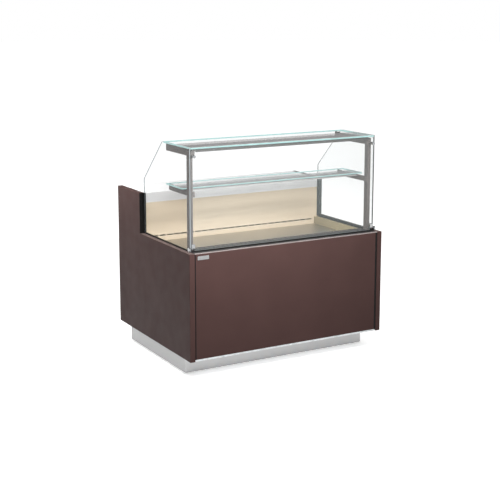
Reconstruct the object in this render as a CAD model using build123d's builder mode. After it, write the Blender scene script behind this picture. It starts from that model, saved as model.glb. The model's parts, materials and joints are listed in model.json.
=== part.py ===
from build123d import *
from math import cos, radians, sin, sqrt
import os

os.makedirs("parts", exist_ok=True)

# Driving dimensions in millimetres.
# X runs to the customer's right, -Y faces the customer, Z is up from the floor.
LENGTH = 1250
DEPTH = 950
HEIGHT = 1270
PLINTH_TOP = 115
RIM_Z = 710
WORKTOP_Z = 945
STEP_Y = 160
WALL = 30
GLASS = 6
SHELF_GLASS = 10
SHEET = 2
TINY = 0.3

# Outline of the body
HALF = LENGTH / 2
INNER = HALF - WALL
FRONT_Y = -DEPTH / 2
REAR_Y = DEPTH / 2

# Plinth and feet
SKIRT_HALF = 588
SKIRT_FRONT_Y = -337
SKIRT_REAR_Y = 400
SKIRT_BOTTOM = 12
SKIRT_SHEET = 1.5
SKIRT_CORNER = 8
FRAME_BOTTOM = 85
FOOT_INSET = 41.5
STEM_R = 6

# Display tub and deck
TUB_BOTTOM = 488
TUB_FLOOR = 518
TUB_RIM = 700
TUB_FRONT_Y = -440
TUB_INNER_FRONT_Y = -400
TUB_INNER_REAR_Y = 197
TUB_REAR_Y = 222
TUB_INNER_HALF = 570
DECK_Z = 655
DECK_FRONT_Y = -332.5
BACK_PANEL_Y = 157
LIP_Z = 887

# Glass superstructure
GLASS_FRONT_Y = -430
SIDE_GLASS_X = 591
SIDE_GLASS_FRONT_Y = GLASS_FRONT_Y + GLASS
KNEE_Z = 1028
TOP_BACK_Y = -90
POST_X = 567
POST_WIDTH = 20
POST_FRONT_Y = -405
POST_DEPTH = 35
POST_TOP = 1250
ARM_THICK = 12
ARM_X = POST_X - ARM_THICK
CLAMP_X = POST_X + POST_WIDTH / 2
CLAMP_Z = 1223
HINGE_Y = GLASS_FRONT_Y + GLASS / 2
HINGE_Z = 728
HINGE_PIN_R = 3

# Shelves: underside of the glass, front edge, rear edge and depth of the arms
TOP_SHELF_Z = HEIGHT - SHELF_GLASS
TOP_SHELF_FRONT_Y = GLASS_FRONT_Y
TOP_SHELF_REAR_Y = -87
MID_SHELF_Z = 1032
MID_SHELF_FRONT_Y = -320
MID_SHELF_REAR_Y = -119
MID_SHELF_GLASS = 8
PAD_HEIGHT = 4
SHELF_HALF = 588

# Cold store and machine side
STORE_LEFT = -593
STORE_RIGHT = 230
STORE_WALL = 30
STORE_TOP = 835
STORE_REAR_Y = 440
DOOR_BOTTOM = 134
DOOR_TOP = 828
DOOR_INNER_Y = 448
DOOR_OUTER_Y = 468
DOOR_PIN_Y = (DOOR_INNER_Y + DOOR_OUTER_Y) / 2
DOOR_PIN_INSET = 10
DOOR_PIN_R = 4
MACHINE_X = 233
FLOOR_Z = PLINTH_TOP + SHEET

SIDES = (("left", -1), ("right", 1))


def side_plane(sign, near, far):
    """Plane whose +X extrusion fills |x| from near to far on one side."""
    return Plane.YZ.offset(near if sign > 0 else -far)


def front_plane(y):
    """Upright plane at y, facing the customer."""
    return Plane.XZ.offset(-y)


def block(x, y, z, mode=Mode.ADD):
    """Rectangular stretch of the active part between two limits on each axis."""
    with Locations(((x[0] + x[1]) / 2, (y[0] + y[1]) / 2, (z[0] + z[1]) / 2)):
        Box(x[1] - x[0], y[1] - y[0], z[1] - z[0], mode=mode)


def mirrored(sign, near, far):
    """Ordered x limits of something that lies between near and far on one side."""
    return (near, far) if sign > 0 else (-far, -near)


# Base frame of welded angle, with a gusset and a hexagonal nut for each levelling foot
frame_half = SKIRT_HALF - SKIRT_SHEET
frame_front = SKIRT_FRONT_Y + SKIRT_SHEET
frame_rear = SKIRT_REAR_Y - SKIRT_SHEET
frame_size = (2 * frame_half, frame_rear - frame_front)
frame_mid = (0, (frame_front + frame_rear) / 2)
foot_x = frame_half - FOOT_INSET
foot_front_y = frame_front + FOOT_INSET
foot_rear_y = frame_rear - FOOT_INSET
feet = {
    "front_left": (-foot_x, foot_front_y),
    "front_right": (foot_x, foot_front_y),
    "rear_left": (-foot_x, foot_rear_y),
    "rear_right": (foot_x, foot_rear_y),
}
ANGLE_LEG = 25
ANGLE_THICK = 3
GUSSET = 64
GUSSET_THICK = 6
NUT_R = 12
NUT_LOW = 73
leg_size = (frame_size[0] - 2 * ANGLE_THICK, frame_size[1] - 2 * ANGLE_THICK)
flange_size = (frame_size[0] - 2 * ANGLE_LEG, frame_size[1] - 2 * ANGLE_LEG)
GUSSET_INSET = 2.5
gusset_shift = FOOT_INSET - GUSSET_INSET - GUSSET / 2

with BuildPart() as base_frame:
    with BuildSketch(Plane.XY.offset(FRAME_BOTTOM)):
        with Locations(frame_mid):
            RectangleRounded(*frame_size, SKIRT_CORNER - SKIRT_SHEET)
            RectangleRounded(*leg_size, SKIRT_CORNER - SKIRT_SHEET - ANGLE_THICK, mode=Mode.SUBTRACT)
            Rectangle(ANGLE_THICK, leg_size[1] + ANGLE_THICK)
    extrude(amount=PLINTH_TOP - FRAME_BOTTOM)
    with BuildSketch(Plane.XY.offset(PLINTH_TOP - ANGLE_THICK)):
        with Locations(frame_mid):
            Rectangle(leg_size[0] + ANGLE_THICK, leg_size[1] + ANGLE_THICK)
            Rectangle(*flange_size, mode=Mode.SUBTRACT)
            Rectangle(ANGLE_LEG, leg_size[1])
    extrude(amount=ANGLE_THICK)
    for x, y in feet.values():
        with BuildSketch(Plane.XY.offset(FRAME_BOTTOM)):
            with Locations((x + gusset_shift * (1 if x > 0 else -1), y + gusset_shift * (1 if y > 0 else -1))):
                Rectangle(GUSSET, GUSSET)
        extrude(amount=GUSSET_THICK)
    with BuildSketch(Plane.XY.offset(NUT_LOW)):
        with Locations(*feet.values()):
            RegularPolygon(NUT_R, 6)
    extrude(amount=FRAME_BOTTOM - NUT_LOW)
    with BuildSketch(Plane.XY.offset(NUT_LOW)):
        with Locations(*feet.values()):
            Circle(STEM_R + 0.05)
    extrude(amount=FRAME_BOTTOM - NUT_LOW + GUSSET_THICK, mode=Mode.SUBTRACT)
base_frame.part.label = "base_frame"
export_step(base_frame.part, "parts/base_frame.step")

# Stainless skirt folded round the base frame
with BuildPart() as plinth_skirt:
    with BuildSketch(Plane.XY.offset(SKIRT_BOTTOM)):
        with Locations((0, (SKIRT_FRONT_Y + SKIRT_REAR_Y) / 2)):
            RectangleRounded(2 * SKIRT_HALF, SKIRT_REAR_Y - SKIRT_FRONT_Y, SKIRT_CORNER)
            RectangleRounded(2 * frame_half, frame_rear - frame_front, SKIRT_CORNER - SKIRT_SHEET,
                             mode=Mode.SUBTRACT)
    extrude(amount=PLINTH_TOP - SKIRT_BOTTOM)
plinth_skirt.part.label = "plinth_skirt"
export_step(plinth_skirt.part, "parts/plinth_skirt.step")

# Levelling feet: round pad, hexagonal body for the spanner, and the stem that turns in the nut
FOOT_R = 15
FOOT_EDGE = 6
SPANNER_R = 10
STEM_TOP = 108
for foot_name, (x, y) in feet.items():
    with BuildPart() as foot:
        with BuildSketch():
            Circle(FOOT_R)
        extrude(amount=FOOT_EDGE)
        with BuildSketch(Plane.XY.offset(FOOT_EDGE)):
            RegularPolygon(SPANNER_R, 6)
        extrude(amount=NUT_LOW - TINY - FOOT_EDGE)
        with BuildSketch(Plane.XY.offset(NUT_LOW - TINY)):
            Circle(STEM_R)
        extrude(amount=STEM_TOP - NUT_LOW + TINY)
    placed_foot = foot.part.moved(Location((x, y, 0)))
    placed_foot.label = f"foot_{foot_name}"
    export_step(placed_foot, f"parts/foot_{foot_name}.step")

# Floor pan of the cabinet: a folded tray that carries the machine and the panels
PAN_FRONT_Y = FRONT_Y + 5
PAN_REAR_Y = 470
PAN_EDGE = 125
with BuildPart() as floor_pan:
    block((-INNER, INNER), (PAN_FRONT_Y, PAN_REAR_Y), (PLINTH_TOP, PAN_EDGE))
    offset(amount=-SHEET, openings=floor_pan.faces().sort_by(Axis.Z)[-1])
floor_pan.part.label = "floor_pan"
export_step(floor_pan.part, "parts/floor_pan.step")

# End panels: painted board, low in front and tall behind the step
TRIM = 3
CHANNEL_LOW = 704
CHANNEL_TOP = 714
CHANNEL_OUT = 600
CHANNEL_IN = 587
SLOT_FLOOR = 707
for side, sign in SIDES:
    with BuildPart() as end_panel:
        with BuildSketch(side_plane(sign, INNER, HALF)):
            with BuildLine():
                Polyline((FRONT_Y, PLINTH_TOP), (FRONT_Y, RIM_Z), (STEP_Y + TRIM, RIM_Z),
                         (STEP_Y + TRIM, WORKTOP_Z), (REAR_Y, WORKTOP_Z), (REAR_Y, PLINTH_TOP),
                         (FRONT_Y, PLINTH_TOP))
            make_face()
        extrude(amount=WALL)
        outer_face = end_panel.faces().sort_by(Axis.X)[-1 if sign > 0 else 0]
        fillet(outer_face.edges(), 1.5)
        block(mirrored(sign, INNER, CHANNEL_OUT), (SIDE_GLASS_FRONT_Y - 0.5, STEP_Y + TRIM),
              (CHANNEL_LOW, RIM_Z), mode=Mode.SUBTRACT)
    end_panel.part.label = f"end_panel_{side}"
    export_step(end_panel.part, f"parts/end_panel_{side}.step")

# Front panel: folded steel tray with rounded edges, open behind, a little back from the end panels
PANEL_HALF = INNER - 2
PANEL_FRONT_Y = FRONT_Y + 1.5
PANEL_DEPTH = 17
PANEL_SHEET = 1.5
CAP_LOW = 706
with BuildPart() as front_panel:
    block((-PANEL_HALF, PANEL_HALF), (PANEL_FRONT_Y, PANEL_FRONT_Y + PANEL_DEPTH), (PAN_EDGE, CAP_LOW))
    fillet(front_panel.faces().sort_by(Axis.Y)[0].edges(), 2.5)
    offset(amount=-PANEL_SHEET, openings=front_panel.faces().sort_by(Axis.Y)[-1])
front_panel.part.label = "front_panel"
export_step(front_panel.part, "parts/front_panel.step")

# Pale extrusion that caps the front panel, with a leg behind it, and hooks over the tub
CAP_REAR_Y = -437
CAP_LEG_Y = (-455, -452)
CAP_LEG_LOW = 672
with BuildPart() as front_cap:
    with BuildSketch(Plane.YZ.offset(-PANEL_HALF)):
        with BuildLine():
            Polyline((PANEL_FRONT_Y, CAP_LOW), (PANEL_FRONT_Y, RIM_Z - 1), (PANEL_FRONT_Y + 1, RIM_Z),
                     (CAP_REAR_Y, RIM_Z), (CAP_REAR_Y, TUB_RIM), (TUB_FRONT_Y, TUB_RIM), (TUB_FRONT_Y, CAP_LOW),
                     (CAP_LEG_Y[1], CAP_LOW), (CAP_LEG_Y[1], CAP_LEG_LOW), (CAP_LEG_Y[0], CAP_LEG_LOW),
                     (CAP_LEG_Y[0], CAP_LOW), (PANEL_FRONT_Y, CAP_LOW))
        make_face()
    extrude(amount=2 * PANEL_HALF)
front_cap.part.label = "front_cap"
export_step(front_cap.part, "parts/front_cap.step")

# Foamed display tub: well, high back wall and drain spigot
DRAIN = (430, -120)
with BuildPart() as display_tub:
    with BuildSketch(Plane.YZ.offset(-INNER)):
        with BuildLine():
            Polyline((TUB_FRONT_Y, TUB_BOTTOM), (TUB_FRONT_Y, TUB_RIM), (TUB_INNER_REAR_Y, TUB_RIM),
                     (TUB_INNER_REAR_Y, LIP_Z), (TUB_REAR_Y, LIP_Z), (TUB_REAR_Y, TUB_BOTTOM),
                     (TUB_FRONT_Y, TUB_BOTTOM))
        make_face()
    extrude(amount=2 * INNER)
    with BuildSketch(Plane.XY.offset(TUB_FLOOR)):
        with Locations((0, (TUB_INNER_FRONT_Y + TUB_INNER_REAR_Y) / 2)):
            Rectangle(2 * TUB_INNER_HALF, TUB_INNER_REAR_Y - TUB_INNER_FRONT_Y)
    extrude(amount=TUB_RIM - TUB_FLOOR, mode=Mode.SUBTRACT)
    with Locations((*DRAIN, TUB_BOTTOM)):
        Cylinder(18, 40, align=(Align.CENTER, Align.CENTER, Align.MAX))
        Cylinder(14, 100, mode=Mode.SUBTRACT)
display_tub.part.label = "display_tub"
export_step(display_tub.part, "parts/display_tub.step")

# Glazing sill: black extrusion with a wiper ridge under the front glass
SILL_HALF = CHANNEL_IN - 0.5
SILL_REAR_Y = -375
POST_GAP = 0.5
with BuildPart() as glazing_sill:
    with BuildSketch(Plane.YZ.offset(-SILL_HALF)):
        with BuildLine():
            Polyline((CAP_REAR_Y, TUB_RIM), (CAP_REAR_Y, RIM_Z), (-433, RIM_Z), (-431, 715), (-423, 715),
                     (-421, RIM_Z), (SILL_REAR_Y, RIM_Z), (SILL_REAR_Y, 707), (-365, 707), (-365, TUB_RIM),
                     (CAP_REAR_Y, TUB_RIM))
        make_face()
    extrude(amount=2 * SILL_HALF)
    block((-INNER, INNER), (CAP_REAR_Y, -425), (TUB_RIM, RIM_Z))
    for side, sign in SIDES:
        block(mirrored(sign, POST_X - POST_GAP, SILL_HALF), (POST_FRONT_Y - POST_GAP, -360),
              (TUB_RIM, RIM_Z), mode=Mode.SUBTRACT)
glazing_sill.part.label = "glazing_sill"
export_step(glazing_sill.part, "parts/glazing_sill.step")

# Black channels that hold the lower and rear edges of the side glasses
for side, sign in SIDES:
    with BuildPart() as channel:
        block(mirrored(sign, CHANNEL_IN, INNER), (-417, STEP_Y + TRIM), (TUB_RIM, CHANNEL_LOW))
        block(mirrored(sign, CHANNEL_IN, CHANNEL_OUT), (-417, STEP_Y + TRIM), (CHANNEL_LOW, CHANNEL_TOP))
        block(mirrored(sign, CHANNEL_IN + 1, CHANNEL_OUT), (152, STEP_Y + TRIM), (CHANNEL_TOP, WORKTOP_Z))
        block(mirrored(sign, CHANNEL_OUT, HALF), (STEP_Y, STEP_Y + TRIM), (RIM_Z, WORKTOP_Z))
        block(mirrored(sign, SIDE_GLASS_X, SIDE_GLASS_X + GLASS), (-417, STEP_Y),
              (SLOT_FLOOR, WORKTOP_Z), mode=Mode.SUBTRACT)
    channel.part.label = f"glazing_channel_{side}"
    export_step(channel.part, f"parts/glazing_channel_{side}.step")

# Side glasses: upright front edge, sloping rear edge
for side, sign in SIDES:
    with BuildPart() as side_glass:
        with BuildSketch(side_plane(sign, SIDE_GLASS_X, SIDE_GLASS_X + GLASS)) as outline:
            with BuildLine():
                Polyline((SIDE_GLASS_FRONT_Y, SLOT_FLOOR), (SIDE_GLASS_FRONT_Y, HEIGHT),
                         (TOP_BACK_Y, HEIGHT), (STEP_Y, KNEE_Z), (STEP_Y, SLOT_FLOOR),
                         (SIDE_GLASS_FRONT_Y, SLOT_FLOOR))
            make_face()
            fillet(outline.vertices().group_by(Axis.Y)[-1].sort_by(Axis.X)[-1], 22)
            fillet(outline.vertices().group_by(Axis.X)[-1].sort_by(Axis.Y)[-1], 22)
        extrude(amount=GLASS)
    side_glass.part.label = f"side_glass_{side}"
    export_step(side_glass.part, f"parts/side_glass_{side}.step")

# Posts of flat tube, each with a threaded stand-off for the glass clamp
STAND_OFF_R = 8
STUD_R = 4
for side, sign in SIDES:
    with BuildPart() as post:
        with BuildSketch(Plane.XY.offset(TUB_RIM)):
            with Locations((sign * CLAMP_X, POST_FRONT_Y + POST_DEPTH / 2)):
                RectangleRounded(POST_WIDTH, POST_DEPTH, 2)
        extrude(amount=POST_TOP - TUB_RIM)
        with BuildSketch(front_plane(POST_FRONT_Y + 1)):
            with Locations((sign * CLAMP_X, CLAMP_Z)):
                Circle(STAND_OFF_R)
        extrude(amount=POST_FRONT_Y + 1 - SIDE_GLASS_FRONT_Y - TINY)
        with BuildSketch(front_plane(POST_FRONT_Y - 3)):
            with Locations((sign * CLAMP_X, CLAMP_Z)):
                Circle(STUD_R + 0.5)
        extrude(amount=30, mode=Mode.SUBTRACT)
    post.part.label = f"post_{side}"
    export_step(post.part, f"parts/post_{side}.step")

# Cantilever arms: flat bar with a raised stop behind the glass
TOP_ARM_Z = TOP_SHELF_Z - PAD_HEIGHT
MID_ARM_Z = MID_SHELF_Z - PAD_HEIGHT
ARM_STOP = 6


def arm_outline(low, high, rear_y, stop_top):
    """Side view of one arm, from the front of the post to its rear stop."""
    Polyline((POST_FRONT_Y, low), (POST_FRONT_Y, high), (rear_y, high), (rear_y, stop_top),
             (rear_y + ARM_STOP, stop_top), (rear_y + ARM_STOP, low + 3), (rear_y + 3, low),
             (POST_FRONT_Y, low))


for side, sign in SIDES:
    with BuildPart() as top_arm:
        with BuildSketch(side_plane(sign, ARM_X, POST_X)):
            with BuildLine():
                arm_outline(TOP_ARM_Z - 40, TOP_ARM_Z, TOP_SHELF_REAR_Y + 1, HEIGHT - 4)
            make_face()
        extrude(amount=ARM_THICK)
    top_arm.part.label = f"top_arm_{side}"
    export_step(top_arm.part, f"parts/top_arm_{side}.step")

with BuildPart() as middle_arms:
    for side, sign in SIDES:
        with BuildSketch(side_plane(sign, ARM_X, POST_X)):
            with BuildLine():
                arm_outline(MID_ARM_Z - 28, MID_ARM_Z, MID_SHELF_REAR_Y + 1, MID_SHELF_Z + 6)
            make_face()
        extrude(amount=ARM_THICK)
middle_arms.part.label = "middle_arms"
export_step(middle_arms.part, "parts/middle_arms.step")

# Shelf glasses with ground edges
with BuildPart() as top_shelf_glass:
    block((-SHELF_HALF, SHELF_HALF), (TOP_SHELF_FRONT_Y, TOP_SHELF_REAR_Y), (TOP_SHELF_Z, HEIGHT))
    chamfer(top_shelf_glass.edges().filter_by(Axis.X), 1)
top_shelf_glass.part.label = "top_shelf_glass"
export_step(top_shelf_glass.part, "parts/top_shelf_glass.step")

with BuildPart() as middle_shelf_glass:
    block((-SHELF_HALF, SHELF_HALF), (MID_SHELF_FRONT_Y, MID_SHELF_REAR_Y),
          (MID_SHELF_Z, MID_SHELF_Z + MID_SHELF_GLASS))
    chamfer(middle_shelf_glass.edges().filter_by(Axis.X), 1)
middle_shelf_glass.part.label = "middle_shelf_glass"
export_step(middle_shelf_glass.part, "parts/middle_shelf_glass.step")

# Flat lamp housing under the front of the top shelf, with its diffuser
LAMP_FRONT_Y = -422
LAMP_REAR_Y = -240
LAMP_LOW = TOP_ARM_Z - 13
DIFFUSER_Y = (-412, -388)
with BuildPart() as top_lamp:
    with BuildSketch(Plane.YZ.offset(-ARM_X)):
        with BuildLine():
            Polyline((LAMP_FRONT_Y, LAMP_LOW), (LAMP_FRONT_Y, TOP_ARM_Z), (LAMP_REAR_Y, TOP_ARM_Z),
                     (LAMP_REAR_Y, TOP_ARM_Z - 5), (-372, TOP_ARM_Z - 5), (-380, LAMP_LOW),
                     (DIFFUSER_Y[1], LAMP_LOW), (DIFFUSER_Y[1], LAMP_LOW + 4), (DIFFUSER_Y[0], LAMP_LOW + 4),
                     (DIFFUSER_Y[0], LAMP_LOW), (LAMP_FRONT_Y, LAMP_LOW))
        make_face()
    extrude(amount=2 * ARM_X)
top_lamp.part.label = "top_lamp"
export_step(top_lamp.part, "parts/top_lamp.step")

with BuildPart() as top_diffuser:
    block((-ARM_X, ARM_X), DIFFUSER_Y, (LAMP_LOW, LAMP_LOW + 4))
top_diffuser.part.label = "top_diffuser"
export_step(top_diffuser.part, "parts/top_diffuser.step")

# Slim lamp under the middle shelf
MID_LAMP_Y = (MID_SHELF_FRONT_Y + 2, -205)
with BuildPart() as middle_lamp:
    with BuildSketch(Plane.YZ.offset(-ARM_X)):
        with BuildLine():
            Polyline((MID_LAMP_Y[0], MID_ARM_Z - 6), (MID_LAMP_Y[0], MID_ARM_Z), (MID_LAMP_Y[1], MID_ARM_Z),
                     (MID_LAMP_Y[1], MID_ARM_Z - 3), (MID_LAMP_Y[0] + 20, MID_ARM_Z - 3),
                     (MID_LAMP_Y[0] + 17, MID_ARM_Z - 6), (MID_LAMP_Y[0], MID_ARM_Z - 6))
        make_face()
    extrude(amount=2 * ARM_X)
middle_lamp.part.label = "middle_lamp"
export_step(middle_lamp.part, "parts/middle_lamp.step")

# Rubber pads between the glass shelves and what carries them
PAD = 11
PAD_SPOTS_TOP = [(512, -325), (544, -325), (ARM_X + ARM_THICK / 2, -380), (ARM_X + ARM_THICK / 2, -110)]
PAD_SPOTS_MID = [(528, -296), (ARM_X + ARM_THICK / 2, -296), (ARM_X + ARM_THICK / 2, -140)]
with BuildPart() as shelf_pads:
    for side, sign in SIDES:
        for spots, low in ((PAD_SPOTS_TOP, TOP_ARM_Z), (PAD_SPOTS_MID, MID_ARM_Z)):
            with BuildSketch(Plane.XY.offset(low)):
                with Locations(*[(sign * x, y) for x, y in spots]):
                    Rectangle(PAD, PAD)
            extrude(amount=PAD_HEIGHT)
shelf_pads.part.label = "shelf_pads"
export_step(shelf_pads.part, "parts/shelf_pads.step")

# Hinge of the front glass: fixed brackets with pins, and shoes clamped to the glass
SHOE_X = (571, 589)
SHOE_R = 7
BRACKET_X = (598, 608)
with BuildPart() as hinge_brackets:
    for side, sign in SIDES:
        with BuildSketch(side_plane(sign, *BRACKET_X)):
            with Locations((HINGE_Y, HINGE_Z)):
                Circle(SHOE_R + 1)
            with Locations((HINGE_Y, (RIM_Z + HINGE_Z) / 2)):
                Rectangle(2 * SHOE_R + 2, HINGE_Z - RIM_Z)
        extrude(amount=BRACKET_X[1] - BRACKET_X[0])
        with BuildSketch(side_plane(sign, SHOE_X[0] + 3, BRACKET_X[1])):
            with Locations((HINGE_Y, HINGE_Z)):
                Circle(HINGE_PIN_R)
        extrude(amount=BRACKET_X[1] - SHOE_X[0] - 3)
hinge_brackets.part.label = "hinge_brackets"
export_step(hinge_brackets.part, "parts/hinge_brackets.step")

SHOE_TOP = 752
NOTCH_X = SHOE_X[0] - 0.5
NOTCH_Z = HINGE_Z + SHOE_R + 0.5
GLASS_LOW = 716
GLASS_HALF = 588
with BuildPart() as front_glass:
    with BuildSketch(front_plane(SIDE_GLASS_FRONT_Y)):
        with Locations((0, (GLASS_LOW + TOP_SHELF_Z - 2) / 2)):
            Rectangle(2 * GLASS_HALF, TOP_SHELF_Z - 2 - GLASS_LOW)
        for side, sign in SIDES:
            with Locations((sign * (NOTCH_X + 20), (GLASS_LOW + NOTCH_Z) / 2 - 5)):
                Rectangle(40, NOTCH_Z - GLASS_LOW + 10, mode=Mode.SUBTRACT)
            with Locations((sign * CLAMP_X, CLAMP_Z)):
                Circle(STUD_R + 1, mode=Mode.SUBTRACT)
    extrude(amount=GLASS)
front_glass.part.label = "front_glass"
export_step(front_glass.part, "parts/front_glass.step")

CHEEK = 3
with BuildPart() as hinge_shoes:
    for side, sign in SIDES:
        with BuildSketch(side_plane(sign, *SHOE_X)):
            with Locations((HINGE_Y, HINGE_Z)):
                Circle(SHOE_R)
            with Locations((HINGE_Y, (HINGE_Z + SHOE_TOP) / 2)):
                Rectangle(GLASS + 2 * CHEEK, SHOE_TOP - HINGE_Z)
            with Locations((HINGE_Y, (NOTCH_Z + SHOE_TOP) / 2)):
                Rectangle(GLASS, SHOE_TOP - NOTCH_Z, mode=Mode.SUBTRACT)
            with Locations((HINGE_Y, HINGE_Z)):
                Circle(HINGE_PIN_R + 0.05, mode=Mode.SUBTRACT)
        extrude(amount=SHOE_X[1] - SHOE_X[0])
hinge_shoes.part.label = "hinge_shoes"
export_step(hinge_shoes.part, "parts/hinge_shoes.step")

# Clamp knobs: grip with eight ridges, and a stud through the front glass into the post
KNOB_R = 9
KNOB_RIDGES = 8
KNOB_BACK_Y = GLASS_FRONT_Y - TINY
KNOB_FACE_Y = -447
STUD_END_Y = -410


def ridged_outline(radius, depth, ridges):
    """Closed outline whose radius steps between ridge and hollow."""
    corners = [(radius - depth * (step % 2), step * 180 / ridges) for step in range(2 * ridges)]
    points = [(r * cos(radians(turn)), r * sin(radians(turn))) for r, turn in corners]
    Polyline(*points, points[0])


for side, sign in SIDES:
    with BuildPart() as knob:
        with BuildSketch(front_plane(KNOB_BACK_Y)):
            with BuildLine():
                ridged_outline(KNOB_R, 1.2, KNOB_RIDGES)
            make_face()
        extrude(amount=KNOB_BACK_Y - KNOB_FACE_Y)
        with BuildSketch(front_plane(STUD_END_Y)):
            Circle(STUD_R)
        extrude(amount=STUD_END_Y - KNOB_BACK_Y)
    placed_knob = knob.part.moved(Location((sign * CLAMP_X, 0, CLAMP_Z)))
    placed_knob.label = f"clamp_knob_{side}"
    export_step(placed_knob, f"parts/clamp_knob_{side}.step")

# Deck: three lift-out plates with turned-down sides
DECK_PLATES = 3
DECK_GAP = 1.5
deck_width = (2 * (TUB_INNER_HALF - 1) - (DECK_PLATES - 1) * DECK_GAP) / DECK_PLATES
with BuildPart() as deck_plates:
    for index in range(DECK_PLATES):
        x = -TUB_INNER_HALF + 1 + index * (deck_width + DECK_GAP)
        block((x, x + deck_width), (DECK_FRONT_Y, BACK_PANEL_Y - 2), (DECK_Z - SHEET, DECK_Z))
        for edge in (x, x + deck_width - SHEET):
            block((edge, edge + SHEET), (-295, 130), (DECK_Z - 14, DECK_Z))
deck_plates.part.label = "deck_plates"
export_step(deck_plates.part, "parts/deck_plates.step")

# Return air grille along the front of the deck
GRILLE_REAR_Y = -333
GRILLE_SLOTS = 38
GRILLE_PITCH = 29
with BuildPart() as return_air_grille:
    with BuildSketch(Plane.YZ.offset(-POST_X + 1)):
        with BuildLine():
            Polyline((SILL_REAR_Y, RIM_Z - SHEET), (SILL_REAR_Y, RIM_Z), (GRILLE_REAR_Y, RIM_Z),
                     (GRILLE_REAR_Y, DECK_Z - SHEET), (GRILLE_REAR_Y - SHEET, DECK_Z - SHEET),
                     (GRILLE_REAR_Y - SHEET, RIM_Z - SHEET), (SILL_REAR_Y, RIM_Z - SHEET))
        make_face()
    extrude(amount=2 * (POST_X - 1))
    with BuildSketch(Plane.XY.offset(RIM_Z)):
        with Locations((0, (SILL_REAR_Y + GRILLE_REAR_Y) / 2)):
            with GridLocations(GRILLE_PITCH, 1, GRILLE_SLOTS, 1):
                Rectangle(7, 28)
    extrude(amount=-SHEET, mode=Mode.SUBTRACT)
return_air_grille.part.label = "return_air_grille"
export_step(return_air_grille.part, "parts/return_air_grille.step")

# Inner back panel: carries the deck on a flange, with windows below it and slots above it for the air
LOWER_HALF = TUB_INNER_HALF - 2
UPPER_HALF = CHANNEL_IN - 0.5
PANEL_STEP_Z = TUB_RIM + 1
FLANGE_Y = 135
WINDOW = (150, 80)
WINDOW_Z = 580
AIR_SLOT = (38, 8)
AIR_SLOT_Z = 686
with BuildPart() as back_panel:
    with BuildSketch(front_plane(BACK_PANEL_Y + PANEL_SHEET)):
        with BuildLine():
            Polyline((-LOWER_HALF, TUB_FLOOR), (-LOWER_HALF, PANEL_STEP_Z), (-UPPER_HALF, PANEL_STEP_Z),
                     (-UPPER_HALF, LIP_Z), (UPPER_HALF, LIP_Z), (UPPER_HALF, PANEL_STEP_Z),
                     (LOWER_HALF, PANEL_STEP_Z), (LOWER_HALF, TUB_FLOOR), (-LOWER_HALF, TUB_FLOOR))
        make_face()
        with Locations((0, WINDOW_Z)):
            with GridLocations(180, 1, 6, 1):
                Rectangle(*WINDOW, mode=Mode.SUBTRACT)
        with Locations((0, AIR_SLOT_Z)):
            with GridLocations(46, 1, 24, 1):
                Rectangle(*AIR_SLOT, mode=Mode.SUBTRACT)
    extrude(amount=PANEL_SHEET)
    block((-LOWER_HALF, LOWER_HALF), (FLANGE_Y, BACK_PANEL_Y), (DECK_Z - 2 * SHEET, DECK_Z - SHEET))
back_panel.part.label = "back_panel"
export_step(back_panel.part, "parts/back_panel.step")

# Evaporator fan plate: spans the tub under the grille and carries the deck's front edge
FAN_PLATE_Y = (-337, -335)
FAN_PLATE_RETURN_Y = -302
EVAPORATOR_FAN_R = 56
EVAPORATOR_FAN_Y = -326
EVAPORATOR_FAN_Z = 585
FAN_GAP = 3
MOUTH_REAR_Y = -312
MOTOR_R = 18
MOTOR_Y = (-300, -280)
MOTOR_BAR_X = EVAPORATOR_FAN_R + 15
BRACKET = 8
SHAFT_R = 4
SHAFT_GRIP = 4


def fan_circle(y, radius):
    """Sketch of one circle on the evaporator fan's axis."""
    with BuildSketch(front_plane(y)) as circle:
        with Locations((0, EVAPORATOR_FAN_Z)):
            Circle(radius)
    return circle.sketch


with BuildPart() as evaporator_fan_frame:
    block((-LOWER_HALF, LOWER_HALF), FAN_PLATE_Y, (TUB_FLOOR, DECK_Z - SHEET))
    for low in (DECK_Z - 2 * SHEET, TUB_FLOOR):
        block((-LOWER_HALF, LOWER_HALF), (FAN_PLATE_Y[0], FAN_PLATE_RETURN_Y), (low, low + SHEET))
    extrude(fan_circle(MOUTH_REAR_Y, EVAPORATOR_FAN_R + FAN_GAP + SHEET), amount=MOUTH_REAR_Y - FAN_PLATE_Y[0])
    extrude(fan_circle(MOUTH_REAR_Y, EVAPORATOR_FAN_R + FAN_GAP), amount=MOUTH_REAR_Y - FAN_PLATE_Y[0],
            mode=Mode.SUBTRACT)
    extrude(fan_circle(MOTOR_Y[1], MOTOR_R), amount=MOTOR_Y[1] - MOTOR_Y[0])
    extrude(fan_circle(MOTOR_Y[0], SHAFT_R), amount=MOTOR_Y[0] - EVAPORATOR_FAN_Y)
    bar_z = (EVAPORATOR_FAN_Z - BRACKET / 2, EVAPORATOR_FAN_Z + BRACKET / 2)
    block((-MOTOR_BAR_X, MOTOR_BAR_X), MOTOR_Y, bar_z)
    for side, sign in SIDES:
        block(mirrored(sign, MOTOR_BAR_X - BRACKET, MOTOR_BAR_X), (FAN_PLATE_Y[1], MOTOR_Y[0]), bar_z)
evaporator_fan_frame.part.label = "evaporator_fan_frame"
export_step(evaporator_fan_frame.part, "parts/evaporator_fan_frame.step")

FAN_BLADES = 5
BLADE_PITCH = 28
BLADE_CAMBER = 0.09
BLADE_THICK = 0.05


def blade_plane(centre, radius, turn):
    """Plane across a blade at one radius, with its x along the pitched chord."""
    out = (cos(radians(turn)), 0, sin(radians(turn)))
    round_x, round_z = -sin(radians(turn)), cos(radians(turn))
    along, across = cos(radians(BLADE_PITCH)), sin(radians(BLADE_PITCH))
    origin = (centre[0] + radius * out[0], centre[1], centre[2] + radius * out[2])
    return Plane(origin=origin, x_dir=(along * round_x, across, along * round_z), z_dir=out)


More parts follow.
